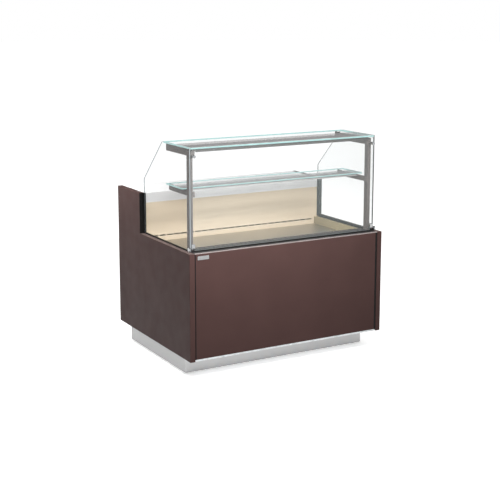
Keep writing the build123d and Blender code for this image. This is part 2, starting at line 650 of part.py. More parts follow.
def blade_section(plane, width):
    """Cambered section of a blade, folded twice along its length; camber and thickness are shares of its width."""
    rise = BLADE_CAMBER * width
    inner_rise = rise - BLADE_THICK * width
    with BuildSketch(plane) as section:
        with BuildLine():
            Polyline((-width / 2, 0), (-width / 6, rise), (width / 6, rise), (width / 2, 0),
                     (width / 6, inner_rise), (-width / 6, inner_rise), (-width / 2, 0))
        make_face()
    return section.sketch


def axial_fan(centre, radius, hub_radius, hub_length, chord, motor_side):
    """Axial fan on a Y axis: a hub, bored for the motor shaft, with pitched blades that widen outwards."""
    motor_face = Plane(origin=(centre[0], centre[1] + motor_side * hub_length / 2, centre[2]),
                       x_dir=(1, 0, 0), z_dir=(0, -motor_side, 0))
    tip_distance = sqrt(radius**2 - (chord / 2) ** 2)
    with BuildPart() as fan:
        with BuildSketch(motor_face):
            Circle(hub_radius)
        extrude(amount=hub_length)
        with BuildSketch(motor_face):
            Circle(SHAFT_R + 0.05)
        extrude(amount=hub_length / 2 + SHAFT_GRIP, mode=Mode.SUBTRACT)
        for index in range(FAN_BLADES):
            turn = index * 360 / FAN_BLADES
            root = blade_section(blade_plane(centre, 0.9 * hub_radius, turn), 0.45 * chord)
            tip = blade_section(blade_plane(centre, tip_distance, turn), chord)
            loft([root, tip], ruled=True)
    return fan.part


evaporator_fan = axial_fan((0, EVAPORATOR_FAN_Y, EVAPORATOR_FAN_Z), EVAPORATOR_FAN_R, 20, 18, 42, 1)
evaporator_fan.label = "evaporator_fan"
export_step(evaporator_fan, "parts/evaporator_fan.step")

# Evaporator: fin block on end plates, grooved deeply from above
COIL_X = 430
COIL_Y = (-180, 20)
COIL_Z = (540, 600)
COIL_FINS = 24
FIN_PITCH = 35
with BuildPart() as evaporator_coil:
    block((-COIL_X, COIL_X), COIL_Y, COIL_Z)
    with BuildSketch(Plane.XY.offset(COIL_Z[1])):
        with Locations((0, sum(COIL_Y) / 2)):
            with GridLocations(FIN_PITCH, 1, COIL_FINS, 1):
                Rectangle(FIN_PITCH - 4, COIL_Y[1] - COIL_Y[0])
    extrude(amount=-50, mode=Mode.SUBTRACT)
    for x in (-COIL_X - SHEET, COIL_X):
        block((x, x + SHEET), (COIL_Y[0] - 8, COIL_Y[1] + 8), (TUB_FLOOR, COIL_Z[1] + 6))
evaporator_coil.part.label = "evaporator_coil"
export_step(evaporator_coil.part, "parts/evaporator_coil.step")

# Worktop: one folded sheet with a deep front lip and a return over the tub wall
WORKTOP_REAR_Y = 473
LEG_Z = 905
FOLD = 3
with BuildPart() as worktop:
    with BuildSketch(Plane.YZ.offset(-INNER + 0.5)):
        with BuildLine():
            Polyline((BACK_PANEL_Y, LIP_Z), (BACK_PANEL_Y, WORKTOP_Z), (WORKTOP_REAR_Y, WORKTOP_Z),
                     (WORKTOP_REAR_Y, LEG_Z), (WORKTOP_REAR_Y - FOLD, LEG_Z),
                     (WORKTOP_REAR_Y - FOLD, WORKTOP_Z - FOLD), (BACK_PANEL_Y + FOLD, WORKTOP_Z - FOLD),
                     (BACK_PANEL_Y + FOLD, LIP_Z + FOLD), (TUB_REAR_Y, LIP_Z + FOLD), (TUB_REAR_Y, LIP_Z),
                     (BACK_PANEL_Y, LIP_Z))
        make_face()
    extrude(amount=2 * INNER - 1)
    fillet(worktop.edges().filter_by(Axis.X).group_by(Axis.Z)[-1], 2)
    for side, sign in SIDES:
        block(mirrored(sign, CHANNEL_IN + 0.5, INNER), (BACK_PANEL_Y, STEP_Y + TRIM + 0.5),
              (LIP_Z, WORKTOP_Z), mode=Mode.SUBTRACT)
worktop.part.label = "worktop"
export_step(worktop.part, "parts/worktop.step")

# Cold store: foamed L-shaped carcass, open to the staff side, with a centre mullion and shelf rails
MULLION_X = (-190, -174)
MULLION_DEPTH = 30
STORE_FRONT_Y = -150
STORE_STEP_Y = TUB_REAR_Y + 4
SHELF_Z = 300
SHELF_REAR_Y = 400
RAIL_WIDTH = 10
store_x = (STORE_LEFT + STORE_WALL, STORE_RIGHT - STORE_WALL)


def store_profile(wall):
    """Side view of the store, drawn in by the wall; the staff side stays open."""
    front, step = STORE_FRONT_Y + wall, STORE_STEP_Y + wall
    low, mid, top = FLOOR_Z + wall, TUB_BOTTOM - wall, STORE_TOP - wall
    Polyline((front, low), (front, mid), (step, mid), (step, top), (STORE_REAR_Y, top), (STORE_REAR_Y, low),
             (front, low))


with BuildPart() as storage_box:
    with BuildSketch(Plane.YZ.offset(STORE_LEFT)):
        with BuildLine():
            store_profile(0)
        make_face()
    extrude(amount=STORE_RIGHT - STORE_LEFT)
    with BuildSketch(Plane.YZ.offset(store_x[0])):
        with BuildLine():
            store_profile(STORE_WALL)
        make_face()
    extrude(amount=store_x[1] - store_x[0], mode=Mode.SUBTRACT)
    block(MULLION_X, (STORE_REAR_Y - MULLION_DEPTH, STORE_REAR_Y), (FLOOR_Z, STORE_TOP))
    for x in ((store_x[0], store_x[0] + RAIL_WIDTH), (store_x[1] - RAIL_WIDTH, store_x[1])):
        block(x, (STORE_FRONT_Y + STORE_WALL, SHELF_REAR_Y), (SHELF_Z - 8, SHELF_Z - SHEET))
storage_box.part.label = "storage_box"
export_step(storage_box.part, "parts/storage_box.step")

SHELF_FRONT_Y = STORE_FRONT_Y + STORE_WALL + 5
SHELF_FOLD = 18
shelf_fold_x = (store_x[0] + RAIL_WIDTH + 3, store_x[1] - RAIL_WIDTH - 3)
with BuildPart() as storage_shelf:
    block((store_x[0] + 1, store_x[1] - 1), (SHELF_FRONT_Y, SHELF_REAR_Y), (SHELF_Z - SHEET, SHELF_Z))
    for y in (SHELF_FRONT_Y, SHELF_REAR_Y - SHEET):
        block(shelf_fold_x, (y, y + SHEET), (SHELF_Z - SHELF_FOLD, SHELF_Z))
    with BuildSketch(Plane.XY.offset(SHELF_Z)):
        with Locations((sum(store_x) / 2, (SHELF_FRONT_Y + SHELF_REAR_Y) / 2)):
            with GridLocations(60, 240, 12, 2):
                Rectangle(16, 200)
    extrude(amount=-SHEET, mode=Mode.SUBTRACT)
storage_shelf.part.label = "storage_shelf"
export_step(storage_shelf.part, "parts/storage_shelf.step")

# Storage doors with finger recesses, on vertical pins, and their gaskets
DOOR_EDGE = 2
DOORS = {
    "left": {"x": (-589, -184), "pin": -589 + DOOR_PIN_INSET, "grip": -205},
    "right": {"x": (-180, 227), "pin": 227 - DOOR_PIN_INSET, "grip": -159},
}
GRIP_Z = (600, 740)
GRIP_WIDTH = 26
GRIP_DEPTH = 13
PIN_DEPTH = 12
GASKET_WIDTH = 14
GASKET_INSET = 12
GASKET_INSET_Z = 4
for side, door_plan in DOORS.items():
    left, right = door_plan["x"]
    with BuildPart() as door:
        block((left, right), (DOOR_INNER_Y, DOOR_OUTER_Y), (DOOR_BOTTOM, DOOR_TOP))
        chamfer(door.faces().sort_by(Axis.Y)[-1].edges(), DOOR_EDGE)
        with BuildSketch(front_plane(DOOR_OUTER_Y)):
            with Locations((door_plan["grip"], sum(GRIP_Z) / 2)):
                RectangleRounded(GRIP_WIDTH, GRIP_Z[1] - GRIP_Z[0], 8)
        extrude(amount=GRIP_DEPTH, mode=Mode.SUBTRACT)
        for z in (DOOR_TOP, DOOR_BOTTOM):
            with Locations((door_plan["pin"], DOOR_PIN_Y, z)):
                Cylinder(DOOR_PIN_R + 0.05, 2 * PIN_DEPTH + 2, mode=Mode.SUBTRACT)
    door.part.label = f"storage_door_{side}"
    export_step(door.part, f"parts/storage_door_{side}.step")
    with BuildPart() as gasket:
        with BuildSketch(front_plane(DOOR_INNER_Y)):
            with Locations(((left + right) / 2, (DOOR_BOTTOM + DOOR_TOP) / 2)):
                outer = (right - left - 2 * GASKET_INSET, DOOR_TOP - DOOR_BOTTOM - 2 * GASKET_INSET_Z)
                RectangleRounded(*outer, 6)
                Rectangle(outer[0] - 2 * GASKET_WIDTH, outer[1] - 2 * GASKET_WIDTH, mode=Mode.SUBTRACT)
        extrude(amount=DOOR_INNER_Y - STORE_REAR_Y - TINY)
    gasket.part.label = f"door_gasket_{side}"
    export_step(gasket.part, f"parts/door_gasket_{side}.step")

HINGE_PLATE = 3.5
HINGE_WIDTH = 18
HINGE_GAP = 1.5
with BuildPart() as door_hinges:
    for door_plan in DOORS.values():
        x = door_plan["pin"]
        for z, reach in ((DOOR_TOP + HINGE_GAP, -1), (DOOR_BOTTOM - HINGE_GAP, 1)):
            block((x - HINGE_WIDTH / 2, x + HINGE_WIDTH / 2), (STORE_REAR_Y, DOOR_PIN_Y + HINGE_WIDTH / 2),
                  sorted((z, z - reach * HINGE_PLATE)))
            with Locations((x, DOOR_PIN_Y, min(z, z + reach * PIN_DEPTH))):
                Cylinder(DOOR_PIN_R, PIN_DEPTH, align=(Align.CENTER, Align.CENTER, Align.MIN))
door_hinges.part.label = "door_hinges"
export_step(door_hinges.part, "parts/door_hinges.step")

# Rear fascia under the worktop: folded channel, cut out for the control panel
FASCIA_Y = (468, 470)
FASCIA_LOW_Y = 430
FASCIA_TOP_Y = 450
FASCIA_TOP = WORKTOP_Z - FOLD
CONTROL_X = 400
CONTROL_Z = 871
CONTROL_SIZE = (190, 48)
BODY_SIZE = (176, 38)


def control_box(size, y, mode=Mode.ADD, at=0):
    """Box of the given width and height on the control panel's centre, shifted along X by at."""
    block((CONTROL_X + at - size[0] / 2, CONTROL_X + at + size[0] / 2), y,
          (CONTROL_Z - size[1] / 2, CONTROL_Z + size[1] / 2), mode)


with BuildPart() as rear_fascia:
    with BuildSketch(Plane.YZ.offset(-INNER + 1)):
        with BuildLine():
            Polyline((FASCIA_LOW_Y, STORE_TOP), (FASCIA_LOW_Y, STORE_TOP + SHEET),
                     (FASCIA_Y[0], STORE_TOP + SHEET), (FASCIA_Y[0], FASCIA_TOP - SHEET),
                     (FASCIA_TOP_Y, FASCIA_TOP - SHEET), (FASCIA_TOP_Y, FASCIA_TOP), (FASCIA_Y[1], FASCIA_TOP),
                     (FASCIA_Y[1], STORE_TOP), (FASCIA_LOW_Y, STORE_TOP))
        make_face()
    extrude(amount=2 * INNER - 2)
    control_box(BODY_SIZE, FASCIA_Y, Mode.SUBTRACT)
rear_fascia.part.label = "rear_fascia"
export_step(rear_fascia.part, "parts/rear_fascia.step")

# Control panel: moulded housing with a display window, two keys and two rockers
PANEL_FACE_Y = 472.5
HOUSING_Y = 440
WINDOW_AT = -46
WINDOW_SIZE = (76, 30)
WINDOW_DEPTH = 1.5
KEYS = {"key_down": 6, "key_up": 20}
KEY_SIZE = (9, 12)
KEY_Y = (464, 474)
KEY_WELL_Y = 462
KEY_TRAVEL = 1
ROCKERS = {"light_switch": 46, "mains_switch": 74}
ROCKER_SIZE = (18, 28)
ROCKER_WELL_Y = 452
ROCKER_PIVOT_Y = 466
with BuildPart() as control_panel:
    control_box(CONTROL_SIZE, (FASCIA_Y[1], PANEL_FACE_Y))
    fillet(control_panel.edges().filter_by(Axis.Y), 4)
    control_box(BODY_SIZE, (HOUSING_Y, FASCIA_Y[1]))
    control_box(WINDOW_SIZE, (PANEL_FACE_Y - WINDOW_DEPTH, PANEL_FACE_Y), Mode.SUBTRACT, WINDOW_AT)
    for at in KEYS.values():
        control_box([size + 2 * TINY for size in KEY_SIZE], (KEY_WELL_Y, PANEL_FACE_Y), Mode.SUBTRACT, at)
    for at in ROCKERS.values():
        control_box((ROCKER_SIZE[0] + 2 * TINY, ROCKER_SIZE[1] + 2), (ROCKER_WELL_Y, PANEL_FACE_Y),
                    Mode.SUBTRACT, at)
control_panel.part.label = "control_panel"
export_step(control_panel.part, "parts/control_panel.step")

for key_name, at in KEYS.items():
    with BuildPart() as key:
        control_box(KEY_SIZE, KEY_Y, at=at)
        chamfer(key.faces().sort_by(Axis.Y)[-1].edges(), 0.8)
    key.part.label = key_name
    export_step(key.part, f"parts/{key_name}.step")

ROCKER_TILT = 6
ROCKER_SIDE = [(-8, -6), (4.5, -13.4), (6, -12.6), (5, 0), (6, 12.6), (4.5, 13.4), (-8, 6), (-8, -6)]
for switch_name, at in ROCKERS.items():
    with BuildPart() as rocker:
        with BuildSketch(Plane.YZ.offset(-ROCKER_SIZE[0] / 2)):
            with BuildLine():
                Polyline(*ROCKER_SIDE)
            make_face()
        extrude(amount=ROCKER_SIZE[0])
    placed_rocker = rocker.part.moved(Location((CONTROL_X + at, ROCKER_PIVOT_Y, CONTROL_Z), (ROCKER_TILT, 0, 0)))
    placed_rocker.label = switch_name
    export_step(placed_rocker, f"parts/{switch_name}.step")

# Service panel of the machine side: folded tray with pressed louvres, closed at their ends
SERVICE_X = (MACHINE_X, PANEL_HALF)
LOUVRE_COLUMNS = 2
LOUVRE_ROWS = 12
LOUVRE_LENGTH = 140
LOUVRE_SPACE = 20
LOUVRE_RISE = 28
LOUVRE_LOW = 280
LOUVRE_HEIGHT = 11
LOUVRE_OUT = 5.5
LOUVRE_SHEET = 1.2
GLAND = (560, 165)
GLAND_R = 8


def louvre_solid(start, length, root_y, rise, lip_y):
    """Wedge under a louvre's hood, with its top at z 0 and its open side below."""
    with BuildPart() as wedge:
        with BuildSketch(Plane.YZ.offset(start)):
            with BuildLine():
                Polyline((root_y, rise), (lip_y - 2, rise - 4), (lip_y, -LOUVRE_HEIGHT), (root_y, -LOUVRE_HEIGHT),
                         (root_y, rise))
            make_face()
        extrude(amount=length)
    return wedge.part


hood = louvre_solid(0, LOUVRE_LENGTH, DOOR_OUTER_Y - 0.5, 0, DOOR_OUTER_Y + LOUVRE_OUT)
hollow = louvre_solid(LOUVRE_SHEET, LOUVRE_LENGTH - 2 * LOUVRE_SHEET, DOOR_OUTER_Y - 2, -LOUVRE_SHEET,
                      DOOR_OUTER_Y + LOUVRE_OUT - LOUVRE_SHEET)
with BuildPart() as service_panel:
    block(SERVICE_X, (DOOR_INNER_Y, DOOR_OUTER_Y), (DOOR_BOTTOM, DOOR_TOP))
    chamfer(service_panel.faces().sort_by(Axis.Y)[-1].edges(), DOOR_EDGE)
    offset(amount=-PANEL_SHEET, openings=service_panel.faces().sort_by(Axis.Y)[0])
    for column in range(LOUVRE_COLUMNS):
        x = sum(SERVICE_X) / 2 + (column - 0.5) * (LOUVRE_LENGTH + LOUVRE_SPACE) - LOUVRE_LENGTH / 2
        for row in range(LOUVRE_ROWS):
            place = Location((x, 0, LOUVRE_LOW + row * LOUVRE_RISE))
            add(hood.moved(place))
            add(hollow.moved(place), mode=Mode.SUBTRACT)
    with BuildSketch(front_plane(DOOR_OUTER_Y)):
        with Locations(GLAND):
            Circle(GLAND_R)
    extrude(amount=PANEL_SHEET, mode=Mode.SUBTRACT)
service_panel.part.label = "service_panel"
export_step(service_panel.part, "parts/service_panel.step")

# Cable gland in the service panel; the lead itself is not shown and is left out
GLAND_NUT_R = 12
GLAND_BORE_R = 5
GLAND_Y = (450, 472)
with BuildPart() as cable_gland:
    with BuildSketch(front_plane(GLAND_Y[1])):
        with Locations(GLAND):
            Circle(GLAND_R)
    extrude(amount=GLAND_Y[1] - GLAND_Y[0])
    for near, far in ((DOOR_OUTER_Y, DOOR_OUTER_Y + 4), (DOOR_OUTER_Y - PANEL_SHEET - 5, DOOR_OUTER_Y - PANEL_SHEET)):
        with BuildSketch(front_plane(far)):
            with Locations(GLAND):
                RegularPolygon(GLAND_NUT_R, 6)
        extrude(amount=far - near)
    with BuildSketch(front_plane(GLAND_Y[1])):
        with Locations(GLAND):
            Circle(GLAND_BORE_R)
    extrude(amount=GLAND_Y[1] - GLAND_Y[0], mode=Mode.SUBTRACT)
cable_gland.part.label = "cable_gland"
export_step(cable_gland.part, "parts/cable_gland.step")

# Hermetic compressor: two pressed domes with a seam, terminal box and discharge stub, on rubber feet
COMPRESSOR = (410, 60)
SHELL_R = 74
SHELL_BASE = 145
SEAM_Z = 226
SHELL_TOP = 310
BASE_Z = 135
BASE_SIZE = (190, 140)
FOOT_PITCH = (154, 104)
STUB_Z = 250
STUB_R = 6
STUB_END = COMPRESSOR[0] + 90
with BuildPart() as compressor:
    with BuildSketch(Plane.XZ):
        with BuildLine():
            Polyline((0, SHELL_BASE), (SHELL_R - 18, SHELL_BASE), (SHELL_R, SHELL_BASE + 20),
                     (SHELL_R, SEAM_Z), (SHELL_R + 6, SEAM_Z), (SHELL_R + 6, SEAM_Z + 8), (SHELL_R, SEAM_Z + 8),
                     (SHELL_R, SHELL_TOP - 34), (SHELL_R - 30, SHELL_TOP), (0, SHELL_TOP), (0, SHELL_BASE))
        make_face()
    revolve(axis=Axis.Z)
    with BuildSketch(Plane.XY.offset(BASE_Z)):
        RectangleRounded(*BASE_SIZE, 18)
    extrude(amount=SHELL_BASE - BASE_Z + 1)
    with BuildSketch(Plane.XY.offset(FLOOR_Z)):
        with GridLocations(*FOOT_PITCH, 2, 2):
            Rectangle(24, 24)
    extrude(amount=BASE_Z - FLOOR_Z)
    block((-32, 32), (-SHELL_R - 28, -SHELL_R + 20), (195, 265))
    with BuildSketch(Plane(origin=(SHELL_R - 10, 0, STUB_Z), z_dir=(1, 0, 0))):
        Circle(STUB_R)
    extrude(amount=STUB_END - COMPRESSOR[0] - SHELL_R + 10)
placed_compressor = compressor.part.moved(Location((*COMPRESSOR, 0)))
placed_compressor.label = "compressor"
export_step(placed_compressor, "parts/compressor.step")

# Condenser: two headers and a core with fins standing out of both faces
CONDENSER_X = (262, 562)
CONDENSER_Y = (405, 432)
CONDENSER_Z = (FLOOR_Z, 400)
HEADER_R = 12
FIN_COUNT = 16
FIN_STEP = 17
FIN_OUT = 4
condenser_mid_y = sum(CONDENSER_Y) / 2
with BuildPart() as condenser_coil:
    for x in CONDENSER_X:
        with Locations((x, condenser_mid_y, CONDENSER_Z[0])):
            Cylinder(HEADER_R, CONDENSER_Z[1] - CONDENSER_Z[0], align=(Align.CENTER, Align.CENTER, Align.MIN))
    fin_z = (CONDENSER_Z[0] + 8, CONDENSER_Z[1] - 8)
    block(CONDENSER_X, (CONDENSER_Y[0] + FIN_OUT, CONDENSER_Y[1] - FIN_OUT), fin_z)
    for column in range(FIN_COUNT):
        x = CONDENSER_X[0] + 22 + column * FIN_STEP
        block((x, x + 1.5), CONDENSER_Y, fin_z)
condenser_coil.part.label = "condenser_coil"
export_step(condenser_coil.part, "parts/condenser_coil.step")

# Condenser fan: shroud with a round mouth, motor on three arms, and the fan
FAN_CENTRE = (412, 352, 262)
FAN_R = 100
SHROUD_X = (CONDENSER_X[0] + 8, CONDENSER_X[1] - 8)
SHROUD_Y = (335, CONDENSER_Y[0])
SHROUD_TOP = 398
FAN_MOUTH_Y = 368
FAN_MOTOR_R = 34
FAN_MOTOR_Y = (270, 330)
ARM_LENGTH = 110
FAN_ARM_WIDTH = 10


def fan_disc(near, far, radius, mode=Mode.ADD):
    """Disc on the condenser fan's axis, between two y values."""
    with BuildPart(mode=Mode.PRIVATE) as disc:
        with BuildSketch(front_plane(far)):
            with Locations((FAN_CENTRE[0], FAN_CENTRE[2])):
                Circle(radius)
        extrude(amount=far - near)
    add(disc.part, mode=mode)


with BuildPart() as condenser_fan_frame:
    block(SHROUD_X, SHROUD_Y, (FLOOR_Z, SHROUD_TOP))
    block((SHROUD_X[0] + SHEET, SHROUD_X[1] - SHEET), (SHROUD_Y[0] + SHEET, SHROUD_Y[1]),
          (FLOOR_Z + SHEET, SHROUD_TOP - SHEET), mode=Mode.SUBTRACT)
    fan_disc(SHROUD_Y[0], FAN_MOUTH_Y, FAN_R + FAN_GAP + SHEET)
    fan_disc(SHROUD_Y[0], FAN_MOUTH_Y, FAN_R + FAN_GAP, Mode.SUBTRACT)
    fan_disc(*FAN_MOTOR_Y, FAN_MOTOR_R)
    with BuildSketch(front_plane(SHROUD_Y[0])):
        for turn in (90, 210, 330):
            with Locations(Location((FAN_CENTRE[0], FAN_CENTRE[2]), turn)):
                with Locations((FAN_MOTOR_R - 14 + ARM_LENGTH / 2, 0)):
                    Rectangle(ARM_LENGTH - 20, FAN_ARM_WIDTH)
    extrude(amount=8)
    fan_disc(FAN_MOTOR_Y[1] - 10, FAN_CENTRE[1] - 3, SHAFT_R)
condenser_fan_frame.part.label = "condenser_fan_frame"
export_step(condenser_fan_frame.part, "parts/condenser_fan_frame.step")

condenser_fan = axial_fan(FAN_CENTRE, FAN_R, 32, 26, 72, -1)
condenser_fan.label = "condenser_fan"
export_step(condenser_fan, "parts/condenser_fan.step")

# Pipework: hot gas line into the condenser, liquid line with its drier up to the tub
PIPE_R = 4
BEND = 16
PIPE_Z = 430
DRIER = (CONDENSER_X[0], 200, PIPE_Z)
DRIER_SIDE = [(-70, 0), (-70, 5), (-50, 16), (50, 16), (70, 5), (70, 0), (-70, 0)]
HOT_GAS = [(STUB_END, COMPRESSOR[1], STUB_Z), (CONDENSER_X[1], COMPRESSOR[1], STUB_Z),
           (CONDENSER_X[1], condenser_mid_y - HEADER_R, STUB_Z)]
LIQUID = [(CONDENSER_X[0], condenser_mid_y, CONDENSER_Z[1]), (CONDENSER_X[0], condenser_mid_y, PIPE_Z),
          (CONDENSER_X[0], 0, PIPE_Z), (CONDENSER_X[0], 0, TUB_BOTTOM)]


def cut_corners(points):
    """Route whose corners are each cut by one short straight, for a bend with few faces."""
    route = [Vector(*points[0])]
    for before, corner, after in zip(points, points[1:], points[2:]):
        here = Vector(*corner)
        route.append(here + (Vector(*before) - here).normalized() * BEND)
        route.append(here + (Vector(*after) - here).normalized() * BEND)
    route.append(Vector(*points[-1]))
    return route


def pipe(points):
    """Tube of the pipe's radius along a route."""
    route = cut_corners(points)
    with BuildPart() as tube:
        with BuildLine() as path:
            Polyline(*route)
        with BuildSketch(Plane(origin=route[0], z_dir=route[1] - route[0])):
            Circle(PIPE_R)
        sweep(path=path.line, transition=Transition.RIGHT)
    return tube.part


with BuildPart() as pipework:
    add(pipe(HOT_GAS))
    add(pipe(LIQUID))
    with BuildSketch(Plane(origin=DRIER, x_dir=(0, 1, 0), z_dir=(0, 0, 1))):
        with BuildLine():
            Polyline(*DRIER_SIDE)
        make_face()
    revolve(axis=Axis(DRIER, (0, 1, 0)))
pipework.part.label = "pipework"
export_step(pipework.part, "parts/pipework.step")
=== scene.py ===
import json
import math

import bmesh
import bpy
from mathutils import Matrix, Vector


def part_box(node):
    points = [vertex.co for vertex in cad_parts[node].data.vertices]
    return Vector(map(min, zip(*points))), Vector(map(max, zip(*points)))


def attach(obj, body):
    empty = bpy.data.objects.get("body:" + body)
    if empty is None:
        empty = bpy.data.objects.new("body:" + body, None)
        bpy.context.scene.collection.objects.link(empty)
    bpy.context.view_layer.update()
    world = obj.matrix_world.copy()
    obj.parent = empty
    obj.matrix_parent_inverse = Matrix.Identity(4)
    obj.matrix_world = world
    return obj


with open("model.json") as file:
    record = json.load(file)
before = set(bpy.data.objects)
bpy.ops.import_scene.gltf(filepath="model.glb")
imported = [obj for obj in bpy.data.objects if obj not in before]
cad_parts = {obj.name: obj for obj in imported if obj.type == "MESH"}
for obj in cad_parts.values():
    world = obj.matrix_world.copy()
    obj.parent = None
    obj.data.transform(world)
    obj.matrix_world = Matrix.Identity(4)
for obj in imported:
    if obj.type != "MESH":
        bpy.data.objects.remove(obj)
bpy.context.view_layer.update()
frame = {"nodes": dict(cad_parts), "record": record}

# Lengths are in metres
MM = 0.001

# Camera at the photograph's place. The image is 500 by 500 pixels.
IMAGE = 500
FOCAL_PIXELS = 1094.6
CENTRE_PIXEL = (243.3, 200.0)
SENSOR_WIDTH = 36
CAMERA_AT = (-3.144, -5.516, 1.991)
CAMERA_YAW = 29.43
CAMERA_PITCH = 9.96


def add_to_scene(thing):
    bpy.context.scene.collection.objects.link(thing)


def make_camera():
    data = bpy.data.cameras.new("camera")
    data.sensor_width = SENSOR_WIDTH
    data.lens = FOCAL_PIXELS / IMAGE * SENSOR_WIDTH
    data.shift_x = 0.5 - CENTRE_PIXEL[0] / IMAGE
    data.shift_y = CENTRE_PIXEL[1] / IMAGE - 0.5
    camera = bpy.data.objects.new("camera", data)
    camera.location = CAMERA_AT
    camera.rotation_euler = (math.radians(90 - CAMERA_PITCH), 0, -math.radians(CAMERA_YAW))
    add_to_scene(camera)
    bpy.context.scene.camera = camera


make_camera()


# Most of a noise pattern lies between these values
NOISE_LOW = 0.3
NOISE_HIGH = 0.7
# Share of its normal along an axis at which a face begins to count as turned that way, and fully does
TURN_START = 0.5
TURN_END = 0.8
# Sockets of a Mix node that take and give colours; other kinds of value have sockets of the same names
MIX_COLOURS_IN = (6, 7)
MIX_COLOUR_OUT = 2
# Fineness of the patches in colour and gloss
PATCH_DETAIL = 4
# Scale of brushed lines, along them and across them
LINES_ALONG = 4
LINES_ACROSS = 900


def map_range(nodes, start, end, low, high):
    """Node that maps start to end onto low to high."""
    node = nodes.new("ShaderNodeMapRange")
    for socket, number in (("From Min", start), ("From Max", end), ("To Min", low), ("To Max", high)):
        node.inputs[socket].default_value = number
    return node


class Paint:
    """A material's node tree, with short names for the nodes that the looks below share."""

    def __init__(self, name, colour, roughness, metallic=0.0):
        self.material = bpy.data.materials.new(name)
        self.material.use_nodes = True
        self.nodes = self.material.node_tree.nodes
        self.links = self.material.node_tree.links
        self.shader = self.nodes["Principled BSDF"]
        self.place = self.nodes.new("ShaderNodeTexCoord")
        self.colour = colour
        self.set("Base Color", (*colour, 1))
        self.set("Roughness", roughness)
        self.set("Metallic", metallic)

    def set(self, socket, value):
        """Sets one of the shader's sockets."""
        self.shader.inputs[socket].default_value = value

    def link(self, start, end):
        self.links.new(start, end)

    def drive(self, socket, output):
        """Links an output to one of the shader's sockets."""
        self.link(output, self.shader.inputs[socket])

    def stretched(self, scale):
        """Object coordinates, multiplied along each axis."""
        mapping = self.nodes.new("ShaderNodeMapping")
        mapping.inputs["Scale"].default_value = scale
        self.link(self.place.outputs["Object"], mapping.inputs["Vector"])
        return mapping.outputs["Vector"]

    def noise(self, scale, detail, stretch=(1, 1, 1)):
        node = self.nodes.new("ShaderNodeTexNoise")
        node.inputs["Scale"].default_value = scale
        node.inputs["Detail"].default_value = detail
        self.link(self.stretched(stretch), node.inputs["Vector"])
        return node.outputs["Fac"]

    def ranged(self, value, low, high, start=NOISE_LOW, end=NOISE_HIGH):
        """The value from start to end, mapped to low to high."""
        node = map_range(self.nodes, start, end, low, high)
        self.link(value, node.inputs["Value"])
        return node.outputs["Result"]

    def compute(self, operation, first, second):
        """One step of arithmetic; second is a socket or a number."""
        node = self.nodes.new("ShaderNodeMath")
        node.operation = operation
        self.link(first, node.inputs[0])
        if isinstance(second, (int, float)):
            node.inputs[1].default_value = second
        else:
            self.link(second, node.inputs[1])
        return node.outputs["Value"]

    def mixed(self, factor, first, second):
        """Colour between two colours, each a triple or a socket."""
        node = self.nodes.new("ShaderNodeMix")
        node.data_type = "RGBA"
        self.link(factor, node.inputs["Factor"])
        for value, place in zip((first, second), MIX_COLOURS_IN):
            if isinstance(value, tuple):
                node.inputs[place].default_value = (*value, 1)
            else:
                self.link(value, node.inputs[place])
        return node.outputs[MIX_COLOUR_OUT]

    def shade(self, low, high):
        """The material's own colour, multiplied by low and by high."""
        return tuple(c * low for c in self.colour), tuple(min(1.0, c * high) for c in self.colour)

    def varied_colour(self, amount, scale, stretch=(1, 1, 1)):
        """The material's own colour in patches, darker and lighter by the amount."""
        dark, light = self.shade(1 - amount, 1 + amount)
        patches = self.noise(scale, PATCH_DETAIL, stretch)
        return self.mixed(self.ranged(patches, 0, 1), dark, light)

    def vary_colour(self, amount, scale, stretch=(1, 1, 1)):
        self.drive("Base Color", self.varied_colour(amount, scale, stretch))

    def vary_roughness(self, low, high, scale, stretch=(1, 1, 1)):
        patches = self.noise(scale, PATCH_DETAIL, stretch)
        self.drive("Roughness", self.ranged(patches, low, high))

    def bump(self, height, strength, distance):
        node = self.nodes.new("ShaderNodeBump")
        node.inputs["Strength"].default_value = strength
        node.inputs["Distance"].default_value = distance
        self.link(height, node.inputs["Height"])
        self.drive("Normal", node.outputs["Normal"])

    def coordinate(self, kind, axis):
        """One axis of a kind of coordinates."""
        split = self.nodes.new("ShaderNodeSeparateXYZ")
        self.link(self.place.outputs[kind], split.inputs["Vector"])
        return split.outputs[axis]

    def position(self, axis):
        """The object coordinate along one axis."""
        return self.coordinate("Object", axis)

    def facing(self, axis):
        """1 on faces turned to the axis's positive end, 0 on the others."""
        return self.ranged(self.coordinate("Normal", axis), 0, 1, TURN_START, TURN_END)

    def facing_back(self, axis):
        """1 on faces turned to the axis's negative end, 0 on the others."""
        return self.ranged(self.coordinate("Normal", axis), 1, 0, -TURN_END, -TURN_START)

    def orange_peel(self, roughness, gloss):
        """The uneven gloss and the fine bumps of powder coat or lacquer."""
        self.vary_roughness(roughness - 0.05, roughness + 0.06, scale=14)
        self.bump(self.noise(scale=900, detail=2), strength=0.12, distance=0.15 * MM)
        self.set("Specular IOR Level", gloss)


# Height under which an end panel's upward faces carry a paler painted highlight, standing in for the
# light they catch from above
TOP_SHEEN_HEIGHT = 0.8
# Depth of the front trim's pale nose; behind it lies the glazing rubber
TRIM_NOSE = 10 * MM
TRIM_NOSE_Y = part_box("front_cap")[0].y + TRIM_NOSE
# Opacity of a pane's film, by itself and where the refracted image of a lamp under it is painted on the
# pane
PANE_FILM = 0.08
LAMP_IMAGE_FILM = 0.7

BROWN = (0.068, 0.038, 0.035)
# Paler brown painted on the end panels' upward faces as a highlight
PAINTED_SHEEN_BROWN = (0.13, 0.095, 0.088)
DARK_RAIL = (0.05, 0.041, 0.039)
WHITE = (0.83, 0.83, 0.81)
PANE_TINT = (0.4, 0.45, 0.45)
PAINTED_LAMP_IMAGE = (0.42, 0.41, 0.41)
# Colours of the painted glow on pane edges; the shelf edges' colour also sets their dark base
PAINTED_BACK_GLOW = (0.9, 0.95, 0.95)
SHELF_EDGE = (0.55, 0.86, 0.84)


